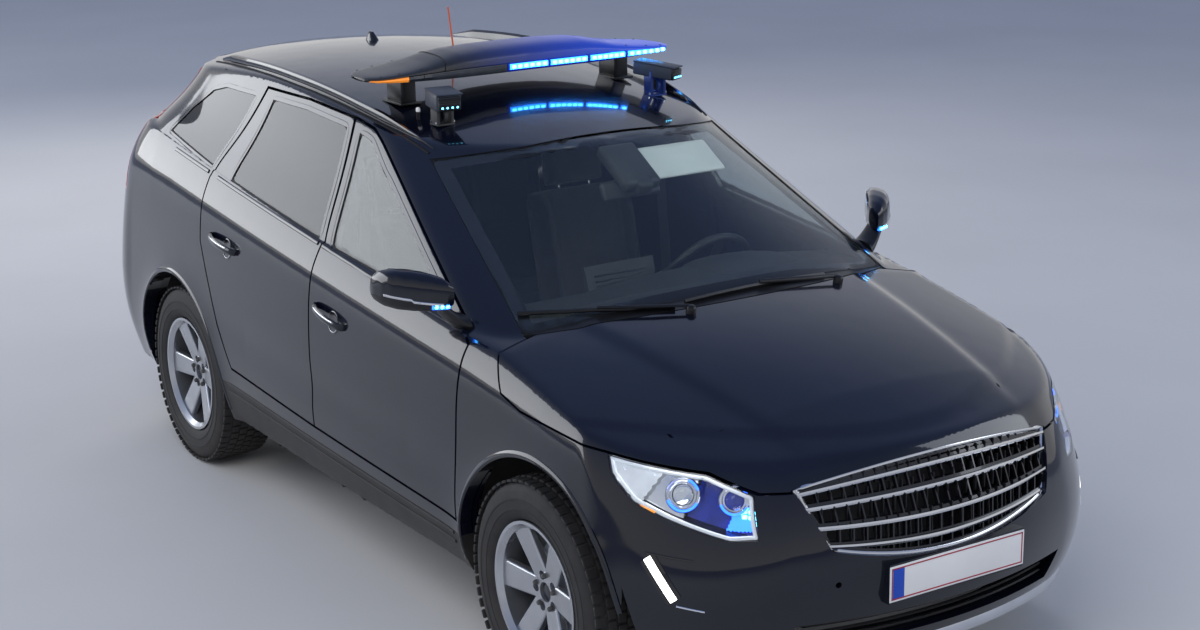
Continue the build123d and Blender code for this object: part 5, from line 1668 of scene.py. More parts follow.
@dataclass
class FrontTrim:
    """Grille, lower intake, daytime lamps, number plates and the silver lip."""

    skin: Skin
    bars: tuple[Pair, ...] = ((0.686, -0.030), (0.734, -0.010), (0.780, 0.014), (0.818, 0.034))
    bar_profile: tuple[Pair, ...] = (
        (-0.002, -0.0065), (0.0035, -0.0060), (0.0055, 0.0), (0.0035, 0.0060), (-0.002, 0.0065)
    )
    frame_profile: tuple[Pair, ...] = (
        (-0.003, -0.006), (0.004, -0.006), (0.007, -0.001), (0.007, 0.004), (0.002, 0.009), (-0.003, 0.009)
    )
    slat_profile: tuple[Pair, ...] = (
        (-0.012, -0.002), (0.010, -0.004), (0.014, 0.0), (0.010, 0.004), (-0.012, 0.003)
    )
    slat_heights: Point = (0.378, 0.400, 0.422)
    lip_profile: tuple[Pair, ...] = (
        (-0.003, -0.022), (0.006, -0.021), (0.010, -0.012), (0.008, 0.010), (0.003, 0.019), (-0.003, 0.020)
    )
    half_width: float = 0.52
    fin_pitch: float = 0.038
    bend: tuple[Pair, ...] = ((0.56, -2.296), (0.72, -2.288), (0.92, -2.196))
    sweep: float = 0.113
    sweep_reach: float = 0.55
    plate_size: Pair = (0.520, 0.110)
    plate_heights: Pair = (0.551, 0.440)
    plate_face: float = 2.3195
    band_face: float = 2.3212

    def grille_y(self, x: float, z: float) -> float:
        """Where the bent grille's face lies."""
        heights, noses = zip(*self.bend)
        return float(np.interp(z, heights, noses)) + self.sweep * (x / self.sweep_reach) ** 2

    def grille_out(self, x: float) -> Point:
        """The direction that the bent grille looks in."""
        return (x * 2 * self.sweep / self.sweep_reach**2, -1, 0.12)

    def grille_bars(self) -> None:
        """Builds the bright bars over the dark grille."""
        dress_nodes(["grille"], GLOSS_BLACK)
        bars = []
        for z, arch in self.bars:
            reach = 0.425 + 0.058 * (z - 0.668) / 0.17
            path = []
            for x in np.linspace(-reach, reach, 41).tolist():
                height = z + arch * (1 - (x / self.half_width) ** 2)
                path.append((x, self.grille_y(x, height) - 0.003, height))
            bars.append(swept(path, [self.grille_out(p[0]) for p in path], self.bar_profile, UP))
        make_piece("grille_bars", join_shapes(*bars), BRIGHT_METAL)

    def grille_frame(self) -> None:
        """Builds the bright frame round the grille."""
        top = [(x, 0.838 + 0.047 * (1 - (x / 0.485) ** 2)) for x in np.linspace(-0.478, 0.478, 41)]
        low = [(x, 0.612 + 0.056 * (x / 0.415) ** 2) for x in np.linspace(0.410, -0.410, 41)]
        path = [Vector((x, self.grille_y(x, z) - 0.002, z)) for x, z in top + low]
        centre = Vector((0, 0, 0.745))
        rings = []
        for i, p in enumerate(path):
            along = (path[(i + 1) % len(path)] - path[i - 1]).normalized()
            out = Vector(self.grille_out(p.x)).normalized()
            across = along.cross(out).normalized()
            if across.dot(p - centre) < 0:
                across = -across
            rings.append([tuple(p + out * a + across * b) for a, b in self.frame_profile])
        make_piece("grille_surround", loft(rings, caps=False, round_trip=True), BRIGHT_METAL)

    def grille_fins(self) -> None:
        """Stands the dark fins between the bars."""
        edges = [0.625, *[z for z, _ in self.bars], 0.862]
        points, sizes = [], []
        for k in range(-11, 12):
            x = k * self.fin_pitch
            for low, high in zip(edges, edges[1:]):
                z = (low + high) / 2 + 0.01 * (1 - (x / self.half_width) ** 2)
                points.append((x, self.grille_y(x, z) + 0.006, z))
                sizes.append((0.0016, 0.006, (high - low) / 2))
        RepeatTree.piece("grille_fins", unit_block(0.2), points, ORIGIN, sizes, BLACK_TRIM)

    def intake(self) -> None:
        """Builds the lower intake's slats and the silver lip."""
        slats = []
        for z in self.slat_heights:
            path = []
            for x in np.linspace(-0.465, 0.465, 31).tolist():
                found = self.skin.nose(x, 0.345)
                if found:
                    path.append((x, found[0].y + 0.022, z))
            slats.append(swept(path, [(0, -1, 0.3)] * len(path), self.slat_profile, UP))
        make_piece("intake_slats", join_shapes(*slats), CLADDING)
        line = [(x, -2.4 + 0.30 * x * x, 0.320) for x in np.linspace(-0.66, 0.66, 31)]
        path, outs = self.skin.trace(line, (0, -1, 0), 61)
        sizes = [min(1.0, 0.25 + 6 * min(i, len(path) - 1 - i) / len(path)) for i in range(len(path))]
        make_piece("silver_lip", swept(path, outs, self.lip_profile, UP, sizes), SATIN_SILVER)

    def daytime_lamps(self) -> None:
        """Builds the slanted daytime lamp strips with their dark and bright edges."""
        line = ((-0.836, -1.930, 0.642), (-0.798, -2.010, 0.527))
        upper = ((-0.838, -1.922, 0.655), (-0.757, -2.045, 0.648))
        lower = ((-0.794, -2.016, 0.512), (-0.738, -2.077, 0.502))
        for side, sign in SIDES.items():
            for name, ends, section, finish, slot, count in (
                ("lamp", line, (0.025, 0.006), WHITE_GLOW, Slot.LAMP_LENS, 16),
                ("bed", line, (0.052, 0.003), GLOSS_BLACK, Slot.DARK_TRIM, 16),
                ("edge_upper", upper, (0.006, 0.004), GLOSS_BLACK, Slot.BRIGHT, 14),
                ("edge_lower", lower, (0.006, 0.004), LAMP_CHROME, Slot.BRIGHT, 14),
            ):
                corners, out = [mirrored_point(p, sign) for p in ends], (sign * 0.62, -0.78, 0)
                self.skin.strip(f"daytime_{name}_{side}", corners, out, section, finish, count, slot=slot)

    def plates(self) -> None:
        """Builds the blank number plates with their borders and blue bands."""
        width, height = self.plate_size
        for end, face, z in zip(("front", "rear"), (-1, 1), self.plate_heights):
            plate = rounded_box((width, 0.003, height), (0, face * self.plate_face, z), 0.0012)
            make_piece(f"{end}_plate", plate, PLATE_WHITE)
            y = face * self.band_face
            parts = []
            for k in (-1, 1):
                level, stand = (0, y, z + k * (height / 2 - 0.008)), (k * (width / 2 - 0.008), y, z)
                parts.append(rounded_box((width - 0.012, 0.0012, 0.004), level, 0.0005))
                parts.append(rounded_box((0.004, 0.0012, height - 0.012), stand, 0.0005))
            make_piece(f"{end}_plate_border", join_shapes(*parts), PLATE_RED)
            band = rounded_box((0.042, 0.0013, height - 0.020), (face * (width / 2 - 0.032), y, z), 0.0005)
            make_piece(f"{end}_plate_band", band, PLATE_BLUE)

    def build(self) -> None:
        """Builds the front trim."""
        self.grille_bars()
        self.grille_frame()
        self.grille_fins()
        self.intake()
        self.daytime_lamps()
        self.plates()


@dataclass(frozen=True)
class BarStation:
    """One cross-section of the light bar's cover."""

    x: float
    front: float
    back: float
    low: float
    middle: float
    top: float


@dataclass(frozen=True)
class PodPlan:
    """One camera pod: its case's middle and size, its turns in degrees, and whether blue light hits it."""

    name: str
    place: Point
    heading: float
    tilt: float
    size: Point
    lit: bool


@dataclass
class RoofKit:
    """The roof light bar, the camera pods and the aerials."""

    skin: Skin
    stations: tuple[BarStation, ...] = (
        BarStation(0.000, 0.070, 0.335, 1.700, 1.738, 1.796),
        BarStation(0.150, 0.066, 0.335, 1.700, 1.738, 1.795),
        BarStation(0.270, 0.062, 0.332, 1.701, 1.738, 1.789),
        BarStation(0.340, 0.060, 0.330, 1.702, 1.737, 1.778),
        BarStation(0.400, 0.057, 0.326, 1.704, 1.736, 1.764),
        BarStation(0.480, 0.055, 0.318, 1.707, 1.734, 1.752),
        BarStation(0.560, 0.056, 0.302, 1.711, 1.731, 1.744),
        BarStation(0.620, 0.068, 0.275, 1.715, 1.729, 1.739),
        BarStation(0.650, 0.110, 0.220, 1.719, 1.727, 1.734),
    )
    steps: int = 22
    fullness: float = 0.72
    crown: float = 0.62
    screw_places: tuple[float, ...] = (-0.60, -0.53, -0.44, 0.44, 0.53, 0.60)
    modules: tuple[Pair, ...] = ((-0.075, 0.085), (0.100, 0.255), (0.272, 0.420), (0.437, 0.610))
    foot_place: Pair = (0.46, 0.20)
    foot_top: float = 1.706
    pods: tuple[PodPlan, ...] = (
        PodPlan("right_pod", (-0.455, -0.105, 1.668), -8, 4, (0.094, 0.118, 0.062), False),
        PodPlan("left_pod", (0.470, -0.080, 1.676), 24, 5, (0.066, 0.170, 0.050), True),
    )
    whip_foot: Point = (0, 0.62, 1.655)
    whip_lean: float = 12.0
    whip_length: float = 0.2236
    stub: Pair = (-0.50, 0.0)

    def station(self, x: float) -> BarStation:
        """The cover's section at a distance from the middle."""
        table = np.array([[s.x, s.front, s.back, s.low, s.middle, s.top] for s in self.stations])
        return BarStation(abs(x), *[float(np.interp(abs(x), table[:, 0], table[:, k])) for k in range(1, 6)])

    def cover_point(self, x: float, a: float) -> Point:
        """A point of the cover's top.

        Args:
            x: its place across the car.
            a: its angle, from the front edge over to the back.

        Returns:
            The point.
        """
        s = self.station(x)
        middle, half = (s.front + s.back) / 2, (s.back - s.front) / 2
        height = s.middle + (s.top - s.middle) * math.sin(a) ** self.crown
        return (x, middle - half * bulged(math.cos(a), self.fullness), height)

    def base(self, x: float, y: float, height: float) -> float:
        """The roof's height at a place, or the given height where nothing is met."""
        found = self.skin.above(x, y)
        return found[0].z if found else height

    def cover(self) -> None:
        """Builds the gull-wing cover, its base tray, its seam and its screws."""
        rings, tray = [], []
        for x in np.linspace(-0.65, 0.65, 105).tolist():
            s = self.station(x)
            ring = [self.cover_point(x, math.pi * k / self.steps) for k in range(self.steps + 1)]
            ring += [(x, s.back - 0.004, s.middle - 0.006), (x, s.front + 0.010, s.middle - 0.006)]
            rings.append(ring)
            tray.append([
                (x, s.front + 0.016, s.middle - 0.004), (x, s.front + 0.022, s.low + 0.004),
                (x, s.front + 0.034, s.low), (x, s.back - 0.030, s.low), (x, s.back - 0.014, s.low + 0.010),
                (x, s.back - 0.010, s.middle - 0.004),
            ])
        make_piece("light_bar_cover", loft(rings), LIT_COVER, replaces=["light_bar"], angle=42)
        make_piece("light_bar_tray", loft(tray), BLACK_TRIM, angle=30)
        angles = [math.pi * k / 24 for k in range(25)]
        seam = [self.cover_point(-0.352 + 0.03 * math.sin(a * 0.5), a) for a in angles]
        make_piece("light_bar_seam", tube(seam, 0.0026, 8), SEAL_RUBBER)
        screws = [self.cover_point(x, math.pi * share) for x in self.screw_places for share in (0.22, 0.80)]
        item = lathe([(0, 1), (0.5, 1), (0.6, 0.6), (0.9, 0.6), (1, 0), (0, 0)], ORIGIN, sides=16)
        RepeatTree.piece("light_bar_screws", item, screws, ORIGIN, (0.005, 0.005, 0.0016), CAST_STEEL)

    def lens_band(
        self, name: str, start: float, end: float, finish: Finish, replaces: Iterable[str] = ()
    ) -> None:
        """Builds a length of the front lens.

        Args:
            name: its name.
            start: where it starts along X.
            end: where it ends.
            finish: what it is made of.
            replaces: the CAD nodes that it stands for.
        """
        rings = []
        for x in np.linspace(start, end, 15).tolist():
            s = self.station(x)
            rings.append([
                (x, s.front + 0.020, s.middle - 0.003), (x, s.front + 0.004, s.middle - 0.004),
                (x, s.front + 0.002, (s.middle + s.low) / 2), (x, s.front + 0.010, s.low + 0.003),
                (x, s.front + 0.024, s.low + 0.002),
            ])
        make_piece(f"light_bar_{name}", loft(rings), finish, replaces=replaces, angle=40)

    def lenses(self) -> None:
        """Builds the lens along the bar and the lit modules in it."""
        self.lens_band("amber_end", -0.635, -0.500, AMBER)
        self.lens_band("clear_section", -0.497, -0.440, SMOKE_LENS)
        self.lens_band("dark_lens", -0.437, -0.088, SMOKE_LENS)
        self.lens_band("blue_lens", -0.085, 0.630, BLUE_PLASTIC, ["light_bar_lens"])
        modules, cores = [], []
        for start, end in self.modules:
            rings = []
            for x in np.linspace(start, end, 9).tolist():
                s = self.station(x)
                y, z = s.front - 0.001, (s.middle + s.low) / 2 + 0.003
                half = min(0.011, (s.middle - s.low) * 0.36)
                section = ((0.012, half), (-0.002, half * 0.8), (-0.002, -half * 0.8), (0.012, -half))
                rings.append([(x, y + depth, z + height) for depth, height in section])
            modules.append(loft(rings))
            for x in np.linspace(start + 0.014, end - 0.014, 6).tolist():
                s = self.station(x)
                cores.append((x, s.front - 0.003, (s.middle + s.low) / 2 + 0.003))
        make_piece("light_bar_modules", join_shapes(*modules), BAR_GLOW, angle=40)
        RepeatTree.piece("light_bar_leds", unit_block(0.5), cores, ORIGIN, (0.009, 0.0025, 0.0065), BAR_CORE)

    def feet(self) -> None:
        """Builds the bar's feet and cross beam."""
        x, y = self.foot_place
        parts = []
        for sign in (-1, 1):
            base = self.base(sign * x, y, 1.63)
            high, middle = self.foot_top - base, (self.foot_top + base) / 2
            parts.append(rounded_box((0.060, 0.120, high), (sign * x, y, middle), 0.008))
            parts.append(rounded_box((0.085, 0.150, 0.010), (sign * x, y, base + 0.004), 0.003))
        parts.append(rounded_box((0.98, 0.034, 0.012), (0, y, 1.697), 0.004))
        make_piece("light_bar_feet", join_shapes(*parts), BLACK_TRIM, angle=30)

    def pod(self, plan: PodPlan) -> None:
        """Builds one camera pod's case, face and lamps, and its bracket.

        Args:
            plan: the pod's plan.
        """
        heading = Matrix.Rotation(math.radians(plan.heading), 3, "Z")
        turn = heading @ Matrix.Rotation(math.radians(plan.tilt), 3, "X")
        width, length, height = plan.size
        name, centre = plan.name, Vector(plan.place)

        def at(x: float, y: float, z: float) -> Point:
            """A point of the case, in the car's frame."""
            return tuple(centre + turn @ Vector((x, y, z)))

        lid_place, face_place = at(0, -length * 0.03, height / 2), at(0, -length / 2 - 0.003, -0.002)
        case = rounded_box(plan.size, plan.place, 0.008, turn)
        lid = rounded_box((width * 1.05, length * 1.06, 0.006), lid_place, 0.003, turn)
        make_piece(f"{name}_case", join_shapes(case, lid), POD_GREY, angle=30)
        face = [rounded_box((width * 0.90, 0.010, height * 0.82), face_place, 0.003, turn)]
        for k in range(6):
            middle = at(0, -length / 2 - 0.009, height * (0.30 - 0.12 * k))
            face.append(rounded_box((width * 0.80, 0.005, 0.003), middle, 0.001, turn))
        make_piece(f"{name}_face", join_shapes(*face), GLOSS_BLACK, angle=30)
        leds = [at(width * (-0.30 + 0.2 * k), -length / 2 - 0.010, -height * 0.22) for k in range(4)]
        RepeatTree.piece(
            f"{name}_leds", unit_block(0.6), leds, tuple(turn.to_euler()), (0.0035, 0.002, 0.0035), BLUE_CORE
        )
        self.bracket(plan)

    def bracket(self, plan: PodPlan) -> None:
        """Builds the ring bracket of one camera pod with its bolts.

        Args:
            plan: the pod's plan.
        """
        x, y, z = plan.place
        y += 0.01
        base = self.base(x, plan.place[1], 1.62)
        ring = [(0.024, -0.006), (0.030, -0.006), (0.030, 0.006), (0.024, 0.006)]
        stay = (0.012, 0.050, max(z - base, 0.03))
        parts = [
            lathe(ring, (x, y, (base + z - plan.size[2] / 2) / 2 + 0.004), (1, 0, 0), 28, True),
            rounded_box((0.070, 0.060, 0.006), (x, y, base + 0.003), 0.002),
            *[rounded_box(stay, (x + k * 0.028, y, (base + z) / 2), 0.003) for k in (1, -1)],
        ]
        # A lit pod's bracket takes the finish with painted blue light; the other bracket stays plain cast steel.
        make_piece(
            f"{plan.name}_bracket", join_shapes(*parts), BLUE_LIGHT_PAINTED_METAL if plan.lit else CAST_STEEL,
            replaces=["roof_cameras"] if plan.lit else (), angle=30,
        )
        bolts = [(x + k * 0.036, y + j * 0.018, base + 0.012) for k in (-1, 1) for j in (-1, 1)]
        item = lathe([(0, 1), (0.6, 1), (1, 0.6), (1, -1), (0, -1)], ORIGIN, sides=6)
        name, size = f"{plan.name}_bolts", (0.004, 0.004, 0.004)
        RepeatTree.piece(name, item, bolts, ORIGIN, size, BRIGHT_METAL, slot=Slot.STEEL)

    def aerials(self) -> None:
        """Builds the fin, the orange whip and the capped stub."""
        rings = []
        for k in range(13):
            t = k / 12
            front, back = 1.235 + 0.085 * t**0.7, 1.385 - 0.028 * t
            half = 0.026 * (1 - t) ** 0.55 + 0.0025
            middle, reach = (front + back) / 2, (back - front) / 2
            rings.append([(half * s, middle - reach * c, 1.640 + 0.062 * t) for c, s in circle(20)])
        make_piece("fin_aerial", loft(rings), GLOSS_BLACK, replaces=["aerials"], angle=40)
        lean = math.radians(self.whip_lean)
        away = Vector((0, math.sin(lean), math.cos(lean)))
        line = [tuple(Vector(self.whip_foot) + away * d) for d in np.linspace(0, self.whip_length, 9)]
        make_piece("whip_aerial", tube(line, 0.0034, 10), ORANGE_ROD)
        base = [(0, 0.03), (0.008, 0.028), (0.012, 0.012), (0.019, 0.004), (0.02, -0.006), (0, -0.006)]
        make_piece("whip_base", lathe(base, (0, 0.62, 1.662), sides=24), BLACK_TRIM)
        x, y = self.stub
        low = self.base(x, y, 1.62)
        make_piece("stub_aerial", tube([(x, y, low), (x, y, low + 0.030)], 0.006, 14), BLACK_TRIM)
        cap = [(0, 0.016), (0.005, 0.015), (0.008, 0.009), (0.008, 0), (0, 0)]
        make_piece("stub_cap", lathe(cap, (x, y, low + 0.029), sides=20), WHITE_CAP)

    def build(self) -> None:
        """Builds everything on the roof."""
        self.cover()
        self.lenses()
        self.feet()
        for plan in self.pods:
            self.pod(plan)
        self.aerials()


@dataclass
class DoorFittings:
    """Mirrors and door handles of one side; places are those of the right-hand side."""

    skin: Skin
    side: str
    sections: tuple[tuple[float, float, float, float, float], ...] = (
        (0.872, -0.876, 0.026, 1.196, 0.036), (0.895, -0.854, 0.046, 1.200, 0.052),
        (0.930, -0.819, 0.064, 1.203, 0.062), (0.970, -0.777, 0.072, 1.205, 0.066),
        (1.005, -0.738, 0.070, 1.205, 0.064), (1.028, -0.709, 0.060, 1.203, 0.055),
        (1.042, -0.688, 0.042, 1.200, 0.039), (1.0490, -0.674, 0.014, 1.197, 0.016),
    )
    roundness: float = 2.7
    glass_half: Pair = (0.064, 0.048)
    glass_middle: float = 0.962
    glass_rings: tuple[Pair, ...] = (
        (1.06, 0.000), (1.06, 0.005), (1.0, 0.006), (0.98, 0.004), (0.5, 0.004), (0.02, 0.004)
    )
    handles: tuple[tuple[str, Point, Point], ...] = (
        ("front", (-0.934, 0.002, 0.972), (-0.934, -0.216, 0.939)),
        ("rear", (-0.930, 0.926, 1.044), (-0.933, 0.690, 1.021)),
    )
    handle_profile: tuple[Pair, ...] = (
        (-0.006, -0.010), (0.003, -0.013), (0.008, -0.006), (0.008, 0.006), (0.003, 0.013), (-0.006, 0.010)
    )
    cup_profile: tuple[Pair, ...] = (
        (0.0, 0.0012), (0.030, 0.0014), (0.036, 0.0024), (0.040, 0.0022), (0.043, -0.001)
    )

    @property
    def sign(self) -> int:
        """The side's sign."""
        return SIDES[self.side]

    @property
    def door(self) -> str:
        """The body that the mirror rides on."""
        return f"front_door_{self.side}"

    def section(self, x: float) -> tuple[float, float, float, float]:
        """The mirror shell's section at a distance from the car's middle."""
        table = np.array(self.sections)
        return tuple(float(np.interp(x, table[:, 0], table[:, k])) for k in range(1, 5))

    def front(self, x: float, z: float) -> float:
        """Where the mirror shell's front lies.

        Args:
            x: the place across the car.
            z: the height.

        Returns:
            The front's Y.
        """
        y, depth, middle, height = self.section(x)
        share = min(abs((z - middle) / height), 0.999) ** self.roundness
        return y - depth * (1 - share) ** (1 / self.roundness)

    def mirror_shell(self) -> None:
        """Builds the mirror's two-coloured shell and the bright strip between its colours."""
        sign, power = self.sign, 2 / self.roundness
        rings = []
        for x in [*np.linspace(0.872, 1.028, 22).tolist(), *np.linspace(1.031, 1.049, 10).tolist()]:
            y, depth, z, height = self.section(x)
            rings.append([
                (sign * x, y + depth * bulged(c, power), z + height * bulged(s, power)) for c, s in circle(44)
            ])
        name, stood_for = f"mirror_shell_{self.side}", [f"mirror_{self.side}"]
        shell = make_piece(name, loft(rings), BLACK_PAINT, self.door, stood_for, 60)
        shell.data.materials.append(BLACK_TRIM.material())
        for face in shell.data.polygons:
            face.material_index = int(face.center.z < 1.172 + 0.10 * (abs(face.center.x) - 0.93))
        path = []
        for x in np.linspace(0.905, 1.040, 24).tolist():
            z = 1.173 + 0.10 * (x - 0.93) + (0.006 if x > 0.985 else 0.0)
            path.append((sign * x, self.front(x, z) - 0.0005, z))
        strip = swept(path, [(sign * 0.5, -0.85, -0.1)] * len(path), strip_profile(0.008, 0.003), UP)
        make_piece(f"mirror_strip_{self.side}", strip, BRIGHT_METAL, self.door)

    def mirror_glass(self) -> None:
        """Builds the mirror's glass."""
        wide, high = self.glass_half
        middle = self.section(0.965)[2]
        glass = []
        for share, out in self.glass_rings:
            ring = []
            for c, s in circle(48):
                x = self.glass_middle + wide * bulged(c, 0.7) * share
                y, depth, _, _ = self.section(x)
                z = middle + high * bulged(s, 0.7) * share
                ring.append((self.sign * x, y + depth * 0.93 - 0.002 + out, z))
            glass.append(ring)
        make_piece(f"mirror_glass_{self.side}", loft(glass), MIRROR_GLASS, self.door, angle=40)

    def mirror_lamps(self) -> None:
        """Builds the blue module under the mirror with its lamps."""
        sign = self.sign
        steps = [0.893 + 0.016 * k for k in range(3)]
        leds = [(sign * x, self.front(x, 1.166) - 0.002, 1.166 - 0.004) for x in steps]
        size = (0.0055, 0.003, 0.0055)
        RepeatTree.piece(
            f"mirror_leds_{self.side}", unit_block(0.6), leds, (0.5, 0, 0), size, BAR_CORE, self.door
        )
        path = [(sign * x, self.front(x, 1.163) + 0.001, 1.163) for x in (0.882, 0.900, 0.918, 0.936)]
        module = swept(path, [(sign * 0.35, -0.93, -0.2)] * len(path), strip_profile(0.018, 0.003), UP)
        make_piece(f"mirror_module_{self.side}", module, BLUE_GLOW, self.door)

    def mirror_foot(self) -> None:
        """Builds the foot that carries the mirror."""
        found = self.skin.side(-0.875, 1.088, self.sign)
        root = abs(found[0].x) if found else 0.82
        foot = []
        for t in np.linspace(0, 1, 9).tolist():
            x = root - 0.012 + (0.905 - root + 0.012) * t
            y, z = -0.865 + 0.020 * t, 1.092 + 0.070 * t**1.5
            wide, high = 0.062 - 0.022 * t, 0.030 - 0.008 * t
            foot.append([(self.sign * x, y + wide * c, z + high * s) for c, s in circle(24)])
        make_piece(f"mirror_foot_{self.side}", loft(foot), BLACK_TRIM, self.door, angle=50)

    def handle(self, name: str, start: Point, end: Point) -> None:
        """Builds one door handle over its cup, with a painted highlight in the cup.

        Args:
            name: front or rear.
            start: its back end on the door.
            end: its front end on the door.
        """
        sign, side, body = self.sign, self.side, f"{name}_door_{self.side}"
        path, outs = self.skin.trace([mirrored_point(p, sign) for p in (start, end)], (sign, 0, 0.1), 25)
        count = len(path)
        if count < 6:
            return
        lifts = [0.003 + 0.028 * math.sin(math.pi * (i / (count - 1))) ** 0.5 for i in range(count)]
        raised = [p + n * lift for p, n, lift in zip(path, outs, lifts)]
        bar = swept(raised, outs, self.handle_profile)
        make_piece(f"{name}_handle_bar_{side}", bar, BLACK_PAINT, body, angle=50)
        top = [p + Vector((0, 0, 0.007)) + n * 0.0065 for p, n in zip(raised, outs)][4:-4]
        strip = swept(top, outs[4:-4], strip_profile(0.006, 0.002))
        make_piece(f"{name}_handle_strip_{side}", strip, BRIGHT_METAL, body)
        axis, middle = outs[int(count * 0.60)], path[int(count * 0.60)] - Vector((0, 0, 0.012))
        cup = lathe(self.cup_profile, middle, axis, 40)
        make_piece(f"{name}_handle_cup_{side}", cup, GLOSS_BLACK, body, angle=50)
        # A bright metal half-moon in the cup: a painted highlight, standing for the sky reflected in the gloss cup.
        x, y, _ = facing(axis).col
        steps = [math.radians(200 + 14 * k) for k in range(11)]
        moon = [middle + axis * 0.0028 + x * 0.034 * math.cos(a) + y * 0.034 * math.sin(a) for a in steps]
        make_piece(f"{name}_handle_glint_{side}", tube(moon, 0.0018, 8), BRIGHT_METAL, body)

    def build(self) -> None:
        """Builds the side's fittings."""
        self.mirror_shell()
        self.mirror_glass()
        self.mirror_lamps()
        self.mirror_foot()
        for name, start, end in self.handles:
            self.handle(name, start, end)


@dataclass(frozen=True)
class Pad:
    """A padded slab that lies in its own XY plane, with bolsters, sewn channels and side seams."""

    size: Point
    crown: float
    bolster: float = 0.0
    channels: tuple[float, ...] = ()
    seam: float = 0.0
    count: int = 57
    seam_place: float = 0.66
    edge_power: int = 7
    edge_round: float = 0.42
    waist: float = 0.020

    def shape(self) -> Shape:
        """Makes the pad's surface.

        Returns:
            Its vertices and faces.
        """
        width, length, thickness = self.size
        spread = np.sin(np.linspace(-math.pi / 2, math.pi / 2, self.count))
        u, v = np.meshgrid(spread, spread, indexing="ij")
        across, along = np.abs(u), np.abs(v)
        edge = ((1 - across**self.edge_power) * (1 - along**self.edge_power)) ** self.edge_round
        pull = self.waist * (1 - v**2) * np.sign(u) * across**3
        corner = 1 - 0.030 * across**6 * along**6
        x = (width / 2) * u * corner - pull * width * 0.5
        y = (length / 2) * v * corner
        top = thickness / 2 * edge + self.crown * (1 - u**2) * (1 - v**2)
        top = top + self.bolster * np.exp(-(((across - 0.80) / 0.12) ** 2)) * (1 - along**5)
        within = np.clip((self.seam_place - across) / 0.03, 0, 1)
        for place in self.channels:
            top = top - self.seam * np.exp(-(((v - place) / 0.022) ** 2)) * within
        side_seam = np.exp(-(((across - self.seam_place) / 0.018) ** 2))
        top = top - self.seam * 1.2 * side_seam * np.clip((0.97 - along) / 0.06, 0, 1)
        points, faces = [], []
        for layer in (top, -thickness / 2 * edge):
            points.extend(zip(x.ravel().tolist(), y.ravel().tolist(), layer.ravel().tolist()))
        count, total = self.count, self.count**2
        for i in range(count - 1):
            for j in range(count - 1):
                a = i * count + j
                faces.append([a, a + count, a + count + 1, a + 1])
                faces.append([total + a, total + a + 1, total + a + count + 1, total + a + count])
        return points, faces


@dataclass
class GlassFittings:
    """Wipers, the sensor housing, the inner mirror and the visor."""

    skin: Skin
    glass_normal: Point = (0.0, -0.49, 0.87)
    glass_height: float = 1.49
    blades: tuple[tuple[str, Point, Point, Point], ...] = (
        ("right", (-0.705, -1.010, 1.130), (-0.250, -1.262, 1.128), (-0.235, -1.295, 1.105)),
        ("left", (-0.215, -1.235, 1.135), (0.379, -1.205, 1.130), (0.395, -1.262, 1.112)),
    )
    blade_profile: tuple[Pair, ...] = (
        (-0.009, -0.0025), (0.0, -0.006), (0.005, -0.003), (0.005, 0.003), (0.0, 0.006), (-0.009, 0.0025)
    )
    pivot_profile: tuple[Pair, ...] = (
        (0, 0.016), (0.010, 0.015), (0.016, 0.008), (0.017, -0.014), (0, -0.014)
    )
    pivot_axis: Point = (0, -0.3, 1)
    visor: Pad = Pad((0.375, 0.165, 0.018), 0.002, count=33)
    slope: float = 30.0
    mirror_slope: float = -29.0

    def wipers(self) -> None:
        """Builds the two front wipers at rest along the glass's foot."""
        for name, start, end, pivot in self.blades:
            path, outs = self.skin.trace([start, end], self.glass_normal, 30)
            lifted = [p + n * 0.010 for p, n in zip(path, outs)]
            make_piece(f"wiper_blade_{name}", swept(lifted, outs, self.blade_profile), BLACK_TRIM, angle=50)
            middle = lifted[len(lifted) // 2] + outs[len(lifted) // 2] * 0.010
            foot, _ = self.skin.trace([pivot, (pivot[0] + 0.001, pivot[1], pivot[2])], self.pivot_axis, 2)
            base = (foot[0] if foot else Vector(pivot)) + Vector((0, 0, 0.010))
            elbow = base.lerp(middle, 0.4) + Vector((0, 0, 0.008))
            arm = tube([base, base + Vector((0, 0.01, 0.012)), elbow, middle], 0.008, 10, 0.6)
            boss = lathe(self.pivot_profile, base, self.pivot_axis, 24)
            make_piece(f"wiper_arm_{name}", join_shapes(arm, boss), BLACK_TRIM, angle=50)

    def glass_point(self, x: float, y: float, sunk: float) -> Vector:
        """A place behind the windscreen.

        Args:
            x: its place across the car.
            y: its place along the car.
            sunk: how far it lies behind the glass.

        Returns:
            The place.
        """
        out = Vector(self.glass_normal)
        over = Vector((x, y, self.glass_height))
        found = self.skin.hit(over + out, -out, 2.0)
        return (found[0] if found else over) - out.normalized() * sunk

    def cabin_side(self) -> None:
        """Builds the sensor housing, the inner mirror and the visor behind the glass."""
        slope, turn = (Matrix.Rotation(math.radians(a), 3, "X") for a in (self.slope, self.mirror_slope))
        place = self.glass_point(0.0, -0.615, 0.034)
        housing = join_shapes(
            rounded_box((0.150, 0.215, 0.050), place, 0.018, slope),
            rounded_box((0.060, 0.060, 0.054), place + Vector((0.0, -0.085, -0.050)), 0.014, slope),
        )
        make_piece("sensor_housing", housing, CABIN_PLASTIC, angle=40)
        mirror = rounded_box((0.235, 0.026, 0.066), self.glass_point(0.0, -0.665, 0.095), 0.012, turn)
        make_piece("inner_mirror", mirror, CABIN_PLASTIC, angle=40)
        matrix = Matrix.Translation(self.glass_point(0.215, -0.575, 0.050)) @ slope.to_4x4()
        visor = make_piece("sun_visor", turned_shape(self.visor.shape(), matrix), VISOR_CLOTH, angle=60)
        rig.padded(visor, fill=0.9)

    def build(self) -> None:
        """Builds everything on the windscreen."""
        self.wipers()
        self.cabin_side()


